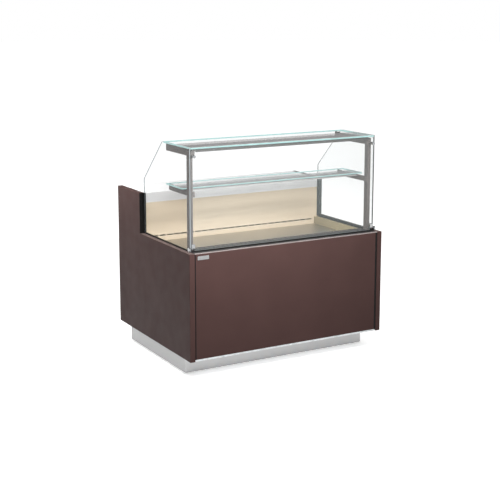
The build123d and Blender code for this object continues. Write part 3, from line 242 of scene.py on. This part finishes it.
def painted(name, colour, roughness, gloss):
    """Powder coat or lacquer: fine orange peel, faint patches, uneven gloss."""
    paint = Paint(name, colour, roughness)
    paint.vary_colour(0.05, scale=6)
    paint.orange_peel(roughness, gloss)
    return paint.material


def board_with_painted_sheen(name, colour, sheen_colour, roughness, gloss):
    """Lacquered board: the upward faces of its low front part carry a paler painted highlight, the light
    they catch from above.
    """
    paint = Paint(name, colour, roughness)
    is_low = paint.compute("LESS_THAN", paint.position("Z"), TOP_SHEEN_HEIGHT)
    painted_sheen = paint.compute("MULTIPLY", paint.facing("Z"), is_low)
    paint.drive("Base Color", paint.mixed(painted_sheen, paint.varied_colour(0.05, scale=6), sheen_colour))
    paint.orange_peel(roughness, gloss)
    return paint.material


def fronted_housing(name, colour, front_colour, roughness):
    """Painted extrusion whose front face is a darker rail."""
    paint = Paint(name, colour, roughness)
    on_front = paint.facing_back("Y")
    paint.drive("Base Color", paint.mixed(on_front, paint.varied_colour(0.05, scale=8), front_colour))
    paint.vary_roughness(roughness - 0.05, roughness + 0.06, scale=20)
    paint.bump(paint.noise(scale=1100, detail=2), strength=0.1, distance=0.1 * MM)
    return paint.material


def capped_trim(name, colour, rubber_colour):
    """Pale metal nose with the black glazing rubber that lies on it behind the nose."""
    paint = Paint(name, colour, roughness=0.36)
    behind = paint.compute("GREATER_THAN", paint.position("Y"), TRIM_NOSE_Y)
    paint.drive("Base Color", paint.mixed(behind, paint.varied_colour(0.06, scale=12), rubber_colour))
    paint.vary_roughness(0.3, 0.42, scale=40)
    paint.bump(paint.noise(scale=500, detail=3), strength=0.15, distance=0.05 * MM)
    return paint.material


def brushed(name, colour, roughness, along="X"):
    """Brushed metal: fine lines along one axis in colour, roughness and height."""
    paint = Paint(name, colour, roughness, metallic=1.0)
    lines = tuple(LINES_ALONG if axis == along else LINES_ACROSS for axis in "XYZ")
    paint.vary_colour(0.07, scale=1, stretch=lines)
    paint.vary_roughness(roughness - 0.07, roughness + 0.1, scale=1, stretch=lines)
    paint.bump(paint.noise(scale=1, detail=3, stretch=lines), strength=0.15, distance=0.1 * MM)
    paint.set("Anisotropic", 0.4)
    return paint.material


def cast(name, colour, roughness, metallic, grain, depth, gloss):
    """Moulded, anodised or cast surface with an even grain; its depth is in millimetres."""
    paint = Paint(name, colour, roughness, metallic)
    paint.vary_colour(0.08, scale=30)
    paint.vary_roughness(max(0.02, roughness - 0.06), roughness + 0.08, scale=60)
    paint.bump(paint.noise(grain, detail=4), strength=0.2, distance=depth * MM)
    paint.set("Specular IOR Level", gloss)
    return paint.material


def spangled(name, colour):
    """Galvanised sheet: flat crystals of slightly different grey and gloss."""
    paint = Paint(name, colour, roughness=0.42, metallic=0.9)
    cells = paint.nodes.new("ShaderNodeTexVoronoi")
    cells.inputs["Scale"].default_value = 90
    paint.link(paint.place.outputs["Object"], cells.inputs["Vector"])
    tone = paint.nodes.new("ShaderNodeSeparateColor")
    paint.link(cells.outputs["Color"], tone.inputs["Color"])
    dark, light = paint.shade(0.82, 1.12)
    paint.drive("Base Color", paint.mixed(tone.outputs["Red"], dark, light))
    paint.drive("Roughness", paint.ranged(tone.outputs["Green"], 0.34, 0.52, start=0, end=1))
    return paint.material


def laminate(name, colour, dark):
    """Pale wood laminate with long grain along X."""
    paint = Paint(name, colour, roughness=0.4)
    long_grain = paint.noise(scale=1, detail=6, stretch=(1.4, 22, 22))
    fine_grain = paint.noise(scale=1, detail=3, stretch=(9, 260, 260))
    grain = paint.compute("ADD", paint.ranged(long_grain, 0, 0.7), paint.ranged(fine_grain, 0, 0.3))
    paint.drive("Base Color", paint.mixed(grain, colour, dark))
    paint.drive("Roughness", paint.ranged(fine_grain, 0.36, 0.48))
    paint.bump(fine_grain, strength=0.08, distance=0.08 * MM)
    return paint.material


def glass_pane(name, lamp_end_y=None):
    """Clear float glass: a faint film over what stands behind it, with slight smears in its gloss.

    Refraction brings a lamp that lies under the pane up to the pane's front edge, so the lamp's
    grey is painted on the pane, as its refracted image, as far back as the lamp reaches.
    """
    paint = Paint(name, PANE_TINT, roughness=0.03)
    paint.vary_roughness(0.01, 0.06, scale=5)
    film = paint.varied_colour(0.04, scale=3)
    if lamp_end_y is None:
        paint.drive("Base Color", film)
        paint.set("Alpha", PANE_FILM)
    else:
        # Painted refraction image: the lamp's grey laid on the pane where the lamp lies under it
        over_lamp = paint.compute("LESS_THAN", paint.position("Y"), lamp_end_y)
        paint.drive("Base Color", paint.mixed(over_lamp, film, PAINTED_LAMP_IMAGE))
        paint.drive("Alpha", paint.ranged(over_lamp, PANE_FILM, LAMP_IMAGE_FILM, start=0, end=1))
    return paint.material


def glass_edge(name, colour, painted_glow):
    """Ground edge of a pane: dark by itself, with a painted glow that stands in for the light gathered
    inside the glass.

    The painted glow at the back edge is paler.
    """
    paint = Paint(name, colour, roughness=0.4)
    ripple = paint.ranged(paint.noise(scale=40, detail=3), 0, 1)
    paint.drive("Base Color", paint.mixed(ripple, *paint.shade(0.1, 0.14)))
    light = paint.mixed(ripple, *paint.shade(0.85, 1.0))
    paint.drive("Emission Color", paint.mixed(paint.facing("Y"), light, PAINTED_BACK_GLOW))
    paint.set("Emission Strength", painted_glow)
    return paint.material


def glowing(name, colour, strength):
    """Lit plastic whose brightness varies gently, as over lamps behind it."""
    paint = Paint(name, colour, roughness=0.5)
    wave = paint.nodes.new("ShaderNodeTexWave")
    wave.inputs["Scale"].default_value = 9
    wave.inputs["Distortion"].default_value = 0.4
    paint.link(paint.place.outputs["Object"], wave.inputs["Vector"])
    tone = paint.mixed(wave.outputs["Fac"], *paint.shade(0.9, 1.0))
    paint.drive("Base Color", tone)
    paint.drive("Emission Color", tone)
    paint.set("Emission Strength", strength)
    return paint.material


# Painted looks: colour, roughness, gloss
PAINTED = {
    "brown_paint": (BROWN, 0.45, 0.06),
    "post_paint": ((0.115, 0.095, 0.09), 0.45, 0.3),
    "lamp_paint": ((0.34, 0.325, 0.32), 0.5, 0.3),
    "grille_paint": ((0.06, 0.047, 0.044), 0.6, 0.1),
    "tub_lining": ((0.4, 0.33, 0.19), 0.42, 0.5),
    "worktop_sheet": ((0.86, 0.85, 0.85), 0.33, 0.5),
    "store_lining": (WHITE, 0.4, 0.5),
    "rear_paint": (WHITE, 0.36, 0.5),
    "black_enamel": ((0.02, 0.02, 0.022), 0.22, 0.5),
}
# Cast looks: colour, roughness, metallic, scale of the grain, its depth in millimetres, gloss
CAST = {
    "black_profile": ((0.012, 0.011, 0.011), 0.5, 0.0, 700, 0.05, 0.1),
    "chrome_fitting": ((0.5, 0.51, 0.52), 0.22, 1.0, 900, 0.02, 0.5),
    "rubber": ((0.03, 0.03, 0.03), 0.75, 0.0, 1200, 0.1, 0.5),
    "copper": ((0.7, 0.33, 0.19), 0.3, 1.0, 300, 0.05, 0.5),
    "fan_plastic": ((0.03, 0.03, 0.033), 0.5, 0.0, 900, 0.08, 0.5),
    "control_plastic": ((0.035, 0.035, 0.038), 0.48, 0.0, 1400, 0.06, 0.5),
    "key_plastic": ((0.42, 0.43, 0.44), 0.5, 0.0, 1400, 0.05, 0.5),
    "switch_plastic": ((0.02, 0.02, 0.02), 0.25, 0.0, 1400, 0.03, 0.5),
    "badge_white": ((0.24, 0.245, 0.245), 0.3, 0.0, 1500, 0.02, 0.5),
    "smoked_lens": ((0.012, 0.012, 0.014), 0.12, 0.0, 60, 0.01, 0.5),
    "mark_white": ((0.8, 0.8, 0.8), 0.5, 0.0, 1500, 0.01, 0.5),
}
LOOKS = {
    "brown_board": board_with_painted_sheen("brown_board", BROWN, PAINTED_SHEEN_BROWN, roughness=0.45, gloss=0.06),
    "pale_trim": capped_trim("pale_trim", (0.24, 0.205, 0.2), (0.02, 0.018, 0.018)),
    "stainless": brushed("stainless", (0.62, 0.63, 0.63), roughness=0.34),
    "coil_fins": brushed("coil_fins", (0.72, 0.73, 0.74), roughness=0.4, along="Z"),
    "galvanised": spangled("galvanised", (0.55, 0.57, 0.58)),
    "back_sheet": laminate("back_sheet", (0.8, 0.67, 0.5), (0.68, 0.55, 0.39)),
    "diffuser": glowing("diffuser", (0.92, 0.92, 0.88), strength=0.6),
    "lit_red": glowing("lit_red", (0.9, 0.06, 0.03), strength=2.5),
}
LOOKS |= {name: painted(name, *numbers) for name, numbers in PAINTED.items()}
LOOKS |= {name: cast(name, *numbers) for name, numbers in CAST.items()}
# Nodes that look unlike the others of their material slot
NODE_LOOKS = {
    "top_lamp": fronted_housing("top_lamp", (0.3, 0.285, 0.28), DARK_RAIL, roughness=0.5),
    "deck_plates": brushed("deck_steel", (0.56, 0.53, 0.47), roughness=0.38),
    "return_air_grille": LOOKS["grille_paint"],
    "plinth_skirt": brushed("plinth_steel", (0.37, 0.37, 0.37), roughness=0.45),
}
CLEAR_PANE = glass_pane("clear_pane")
TOP_PANE = glass_pane("top_pane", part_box("top_lamp")[1].y)
MIDDLE_PANE = glass_pane("middle_pane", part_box("middle_lamp")[1].y)
# Node: the pane's look, the axis across its thickness, the look of its edges
# Edge colours and glow strengths are painted light: bright on the left pane, dark and faint on the right
# pane, between them on the front pane
GLAZING = {
    "side_glass_left": (CLEAR_PANE, "X", glass_edge("left_pane_edge", (0.45, 0.5, 0.52), painted_glow=0.8)),
    "side_glass_right": (CLEAR_PANE, "X", glass_edge("right_pane_edge", (0.06, 0.06, 0.065), painted_glow=0.2)),
    "front_glass": (CLEAR_PANE, "Y", glass_edge("front_pane_edge", (0.25, 0.28, 0.28), painted_glow=0.5)),
    "top_shelf_glass": (TOP_PANE, "Z", glass_edge("top_pane_edge", SHELF_EDGE, painted_glow=0.75)),
    "middle_shelf_glass": (MIDDLE_PANE, "Z", glass_edge("middle_pane_edge", SHELF_EDGE, painted_glow=0.65)),
}


def glaze(node, pane, axis, edge):
    """The large faces get the pane's look, and the faces across its thickness get the edge's."""
    node.data.materials.append(pane)
    node.data.materials.append(edge)
    for face in node.data.polygons:
        turned = abs(face.normal["XYZ".index(axis)])
        face.material_index = int(turned < TURN_START)


def dress_cad_nodes():
    for row in frame["record"]["subparts"]:
        name, slot_name = row["node"], row["material_slot"]
        node = frame["nodes"][name]
        node.data.materials.clear()
        if name in GLAZING:
            glaze(node, *GLAZING[name])
        else:
            node.data.materials.append(NODE_LOOKS.get(name) or LOOKS[slot_name])


dress_cad_nodes()


SMOOTH_ANGLE = math.radians(35)
FACE_FRONT = Matrix.Rotation(math.radians(90), 4, "X")
FACE_REAR = Matrix.Rotation(math.radians(180), 4, "Z") @ FACE_FRONT
CORNER_STEPS = 6


def placed(mesh, turn, place):
    """The mesh, turned from its own +Z and moved to its place."""
    bmesh.ops.transform(mesh, matrix=Matrix.Translation(place) @ turn, verts=mesh.verts)
    return mesh


def add_piece(name, mesh, look, body):
    """Links a finished bmesh as a piece that rides on a CAD body."""
    data = bpy.data.meshes.new(name)
    bmesh.ops.recalc_face_normals(mesh, faces=mesh.faces)
    mesh.to_mesh(data)
    mesh.free()
    data.materials.append(LOOKS[look])
    data.shade_smooth()
    data.set_sharp_from_angle(angle=SMOOTH_ANGLE)
    piece = bpy.data.objects.new(name, data)
    add_to_scene(piece)
    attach(piece, body)


def layered(rings):
    """Mesh through rings of equally many points, closed at both ends."""
    mesh = bmesh.new()
    rows = [[mesh.verts.new(point) for point in ring] for ring in rings]
    for low, high in zip(rows, rows[1:]):
        for index in range(len(low)):
            after = (index + 1) % len(low)
            mesh.faces.new((low[index], low[after], high[after], high[index]))
    mesh.faces.new(list(reversed(rows[0])))
    mesh.faces.new(rows[-1])
    return mesh


def rounded_ring(width, height, radius, level):
    """Points of a rectangle with round corners, anticlockwise about the origin, all at one level."""
    points = []
    for corner, (right, up) in enumerate(((1, 1), (-1, 1), (-1, -1), (1, -1))):
        middle = Vector((right * (width / 2 - radius), up * (height / 2 - radius)))
        for step in range(CORNER_STEPS + 1):
            angle = (corner + step / CORNER_STEPS) * math.pi / 2
            point = middle + radius * Vector((math.cos(angle), math.sin(angle)))
            points.append(Vector((point.x, point.y, level)))
    return points


def stepped(width, height, layers):
    """Body of rounded rectangles: each layer is its inset from the size, its level and its radius."""
    return layered([
        rounded_ring(width - 2 * inset, height - 2 * inset, radius, level)
        for inset, level, radius in layers
    ])


def plate(width, height, radius, thick, rim, dish):
    """Bare plate that faces +Z: softened rim and a shallow field inside it."""
    profile = (
        (0, 0),
        (0, thick - rim / 3),
        (rim / 3, thick),
        (rim, thick),
        (rim + dish, thick - dish),
    )
    return stepped(width, height, [(inset, level, radius - inset / 2) for inset, level in profile])


# Bare plate near the front panel's upper left corner
BADGE_SIZE = (68 * MM, 21 * MM)
BADGE_X = -543 * MM
BADGE_Z = 684 * MM


def add_badge_plate():
    face_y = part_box("front_panel")[0].y
    mesh = plate(*BADGE_SIZE, radius=4 * MM, thick=1.2 * MM, rim=1.8 * MM, dish=0.4 * MM)
    add_piece("badge_plate", placed(mesh, FACE_FRONT, (BADGE_X, face_y, BADGE_Z)),
              "badge_white", "counter")


# Black strips at both ends of the front panel, a painted shadow standing in for the shaded reveal between
# front panel and end panels; the photo's dark line is wider at the right end
REVEAL_SHADOW_WIDTHS = {"left": 5 * MM, "right": 11 * MM}
REVEAL_SHADOW_THICK = 0.9 * MM


# Each black strip is painted shadow laid where the reveal's shade falls
def add_painted_reveal_shadows():
    low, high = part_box("front_panel")
    for side, width in REVEAL_SHADOW_WIDTHS.items():
        middle_x = low.x + width / 2 if side == "left" else high.x - width / 2
        mesh = plate(width, high.z - low.z, radius=1 * MM, thick=REVEAL_SHADOW_THICK, rim=0.8 * MM, dish=0.1 * MM)
        add_piece(f"front_reveal_shadow_{side}", placed(mesh, FACE_FRONT, (middle_x, low.y, (low.z + high.z) / 2)),
                  "black_profile", "counter")


# Screws with a hexagonal socket. A ring is its radius and its level, as shares of the head's radius.
HEAD_RINGS = ((1.25, 0), (1.25, 0.12), (1, 0.16), (0.96, 0.36), (0.78, 0.5), (0.6, 0.55))
SOCKET_RINGS = ((0.36, 0.55), (0.36, 0.2))
RING_POINTS = 24
HEXAGON_SIDE = math.radians(60)
SCREW_R = 4 * MM
SCREW_INSET = 12 * MM
# The service panel's flat face; its louvres stand further out
SERVICE_FACE_Y = 468 * MM


def circle(radius, level, hexagonal=False):
    """Points of a circle, or of the hexagon round it."""
    points = []
    for index in range(RING_POINTS):
        angle = 2 * math.pi * index / RING_POINTS
        reach = radius
        if hexagonal:
            reach = radius / math.cos((angle + HEXAGON_SIDE / 2) % HEXAGON_SIDE - HEXAGON_SIDE / 2)
        points.append(Vector((reach * math.cos(angle), reach * math.sin(angle), level)))
    return points


def screw(radius):
    """Domed head that faces +Z, with a washer flange under it."""
    head = [circle(share * radius, level * radius) for share, level in HEAD_RINGS]
    socket = [circle(share * radius, level * radius, hexagonal=True) for share, level in SOCKET_RINGS]
    return layered(head + socket)


def add_rear_screws():
    """Screws that hold the service panel and the rear fascia."""
    low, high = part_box("service_panel")
    spots = []
    for x in (low.x + SCREW_INSET, high.x - SCREW_INSET):
        for z in (low.z + SCREW_INSET, (low.z + high.z) / 2, high.z - SCREW_INSET):
            spots.append((x, SERVICE_FACE_Y, z))
    low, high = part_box("rear_fascia")
    for x in (low.x + SCREW_INSET, high.x - SCREW_INSET):
        spots.append((x, high.y, (low.z + high.z) / 2))
    for index, spot in enumerate(spots):
        add_piece(f"rear_screw_{index}", placed(screw(SCREW_R), FACE_REAR, spot),
                  "chrome_fitting", "counter")


# Recessed grips of the storage doors, lined with a plastic tray that has a thin flange
GRIP_SIZE = (26 * MM, 140 * MM)
GRIP_DEPTH = 13 * MM
GRIP_RADIUS = 5 * MM
GRIP_Z = 670 * MM
GRIP_X = {"storage_door_left": -205 * MM, "storage_door_right": -159 * MM}
# Profile of the tray, from its back over the flange down to its floor: inset and level
GRIP_PROFILE = (
    (0.3 * MM, -0.95 * GRIP_DEPTH),
    (0.3 * MM, 0),
    (-2.5 * MM, 0),
    (-2.5 * MM, 0.5 * MM),
    (-1.9 * MM, 0.9 * MM),
    (1.2 * MM, 0.9 * MM),
    (1.8 * MM, 0.4 * MM),
    (2.6 * MM, -0.85 * GRIP_DEPTH),
)


def add_grip_liners():
    for door, x in GRIP_X.items():
        face_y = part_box(door)[1].y
        mesh = stepped(*GRIP_SIZE, [(inset, level, GRIP_RADIUS) for inset, level in GRIP_PROFILE])
        add_piece(f"{door}_grip", placed(mesh, FACE_REAR, (x, face_y, GRIP_Z)),
                  "control_plastic", door)


# Temperature display: a smoked lens with lit digits, and the marks of the two keys
LENS_X = 354 * MM
LENS_Z = 871 * MM
LENS_SIZE = (75 * MM, 29 * MM)
LENS_THICK = 1.3 * MM
LENS_DISH = 0.1 * MM
# Depth of the recess that the lens stands in
LENS_RECESS = 1.5 * MM
# Digits and marks are this thick
PRINT_THICK = 0.12 * MM
# The reading 4.0: each digit's lit segments, in the order of the table below
READING = ("0111010", "1110111")
# Segments: place across the digit, place up its half height, upright or not
SEGMENTS = (
    (0.5, 1, False),
    (0, 0.5, True),
    (1, 0.5, True),
    (0.5, 0, False),
    (0, -0.5, True),
    (1, -0.5, True),
    (0.5, -1, False),
)
DIGIT_SIZE = (9 * MM, 17 * MM)
DIGIT_LEFTS = (-11 * MM, 2 * MM)
SEGMENT_WIDTH = 1.8 * MM
SEGMENT_GAP = 0.5 * MM
POINT_R = 0.9 * MM
POINT_X = -0.7 * MM
# Triangle on a key, from the key's middle
MARK_HALF_WIDTH = 2.2 * MM
MARK_FOOT = 1.6 * MM
MARK_TIP = 2.2 * MM


def flat_shape(points):
    """Thin prism of an outline."""
    return layered([[Vector((x, y, level)) for x, y in points] for level in (0, PRINT_THICK)])


def segment(middle, length, upright):
    """Outline of a pointed bar."""
    half, tip = SEGMENT_WIDTH / 2, length / 2
    lower = [(-tip, 0), (half - tip, -half), (tip - half, -half)]
    points = lower + [(-x, -y) for x, y in lower]
    if upright:
        points = [(-y, x) for x, y in points]
    return [(middle[0] + x, middle[1] + y) for x, y in points]


def digit_outlines(lit_segments, left):
    """Outlines of a digit's lit segments; left is the digit's left edge."""
    width, height = DIGIT_SIZE
    outlines = []
    for lit, (across, up, upright) in zip(lit_segments, SEGMENTS):
        if lit == "1":
            middle = (left + across * width, up * height / 2)
            length = height / 2 if upright else width
            outlines.append(segment(middle, length - SEGMENT_GAP, upright))
    return outlines


def reading_outlines():
    """Outlines of both digits and of the point between them."""
    outlines = []
    for lit_segments, left in zip(READING, DIGIT_LEFTS):
        outlines += digit_outlines(lit_segments, left)
    point = [(POINT_X + p.x, p.y - DIGIT_SIZE[1] / 2) for p in circle(POINT_R, 0)]
    return outlines + [point]


def joined(meshes):
    """One mesh out of several."""
    whole = bmesh.new()
    for mesh in meshes:
        data = bpy.data.meshes.new("part")
        mesh.to_mesh(data)
        mesh.free()
        whole.from_mesh(data)
        bpy.data.meshes.remove(data)
    return whole


def add_display():
    floor_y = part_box("control_panel")[1].y - LENS_RECESS
    lens = plate(*LENS_SIZE, radius=2 * MM, thick=LENS_THICK, rim=0.6 * MM, dish=LENS_DISH)
    add_piece("display_lens", placed(lens, FACE_REAR, (LENS_X, floor_y, LENS_Z)),
              "smoked_lens", "counter")
    digits = joined([flat_shape(outline) for outline in reading_outlines()])
    field_y = floor_y + LENS_THICK - LENS_DISH
    add_piece("display_digits", placed(digits, FACE_REAR, (LENS_X, field_y, LENS_Z)),
              "lit_red", "counter")


def add_key_marks():
    """Triangle on each key: up raises the set temperature, down lowers it."""
    for key, up in (("key_up", 1), ("key_down", -1)):
        low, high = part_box(key)
        foot = -MARK_FOOT * up
        corners = [(-MARK_HALF_WIDTH, foot), (MARK_HALF_WIDTH, foot), (0, MARK_TIP * up)]
        spot = ((low.x + high.x) / 2, high.y, (low.z + high.z) / 2)
        # Taken backwards for the key that lowers, the corners stay anticlockwise
        add_piece(f"{key}_mark", placed(flat_shape(corners[::up]), FACE_REAR, spot),
                  "mark_white", key)


add_badge_plate()
add_painted_reveal_shadows()
add_rear_screws()
add_grip_liners()
add_display()
add_key_marks()


# Floor, lights and world
FLOOR_COLOUR = (0.86, 0.86, 0.86)
FLOOR_RADIUS = 60
FLOOR_SIDES = 96
FLOOR_GLOW = 0.55
# Name, place, aim, size, power in watts, spread in degrees
LIGHTS = (
    ("front_strip", (-0.4, -1.3, 1.35), (-0.25, -0.47, 0.5), (1.8, 0.2), 27, 180),
    ("left_strip", (-1.15, 0.45, 1.45), (-0.62, 0.4, 0.95), (0.2, 0.8), 10, 180),
    ("inner", (0.2, -2.3, 2.2), (0.0, 0.157, 0.9), (1.8, 0.3), 6, 60),
    ("top", (0.3, 0.4, 3.6), (0.0, 0.0, 0.6), (2.4, 2.4), 8, 180),
    ("rear", (1.4, 4.6, 3.2), (0.0, 0.0, 0.6), (3.0, 3.0), 38, 180),
)
SUN_AT = (-1.5, -2.0, 6.0)
SUN_AIM = (0, 0, 0)
SUN_STRENGTH = 0.4
SUN_SPREAD = 50
# The world's light goes from its lower to its upper strength between two heights of direction
WORLD_HEIGHTS = (-0.2, 0.9)
WORLD_STRENGTHS = (0.03, 0.66)


def make_stage():
    """Pale floor that the camera and reflections show, but that adds no diffuse light."""
    paint = Paint("floor_white", FLOOR_COLOUR, roughness=0.9)
    paint.vary_colour(0.005, scale=3)
    paint.set("Emission Color", (1, 1, 1, 1))
    paint.set("Emission Strength", FLOOR_GLOW)
    paint.set("Specular IOR Level", 0.0)
    mesh = bmesh.new()
    bmesh.ops.create_circle(mesh, cap_ends=True, segments=FLOOR_SIDES, radius=FLOOR_RADIUS)
    data = bpy.data.meshes.new("floor")
    mesh.to_mesh(data)
    mesh.free()
    data.materials.append(paint.material)
    floor = bpy.data.objects.new("floor", data)
    floor.visible_diffuse = False
    add_to_scene(floor)


def aimed_light(name, kind, place, aim, power):
    """Light that neither the camera nor a reflection shows."""
    data = bpy.data.lights.new(name, kind)
    data.energy = power
    light = bpy.data.objects.new(name, data)
    light.location = place
    light.rotation_euler = (Vector(place) - Vector(aim)).to_track_quat("Z", "Y").to_euler()
    light.visible_camera = False
    light.visible_glossy = False
    add_to_scene(light)
    return data


def make_lights():
    for name, place, aim, (width, height), power, spread in LIGHTS:
        area = aimed_light(name, "AREA", place, aim, power)
        area.shape = "RECTANGLE"
        area.size = width
        area.size_y = height
        area.spread = math.radians(spread)
    sun = aimed_light("sun", "SUN", SUN_AT, SUN_AIM, SUN_STRENGTH)
    sun.angle = math.radians(SUN_SPREAD)


def make_world():
    """White behind the object; what lights it is dim below and brighter above."""
    scene = bpy.context.scene
    scene.view_settings.view_transform = "Standard"
    world = bpy.data.worlds.new("studio")
    world.use_nodes = True
    nodes, links = world.node_tree.nodes, world.node_tree.links
    place = nodes.new("ShaderNodeTexCoord")
    split = nodes.new("ShaderNodeSeparateXYZ")
    links.new(place.outputs["Generated"], split.inputs["Vector"])
    lift = map_range(nodes, *WORLD_HEIGHTS, *WORLD_STRENGTHS)
    links.new(split.outputs["Z"], lift.inputs["Value"])
    path = nodes.new("ShaderNodeLightPath")
    brightness = nodes.new("ShaderNodeMath")
    brightness.operation = "MAXIMUM"
    links.new(path.outputs["Is Camera Ray"], brightness.inputs[0])
    links.new(lift.outputs["Result"], brightness.inputs[1])
    background = nodes["Background"]
    background.inputs["Color"].default_value = (1, 1, 1, 1)
    links.new(brightness.outputs["Value"], background.inputs["Strength"])
    scene.world = world


make_stage()
make_lights()
make_world()
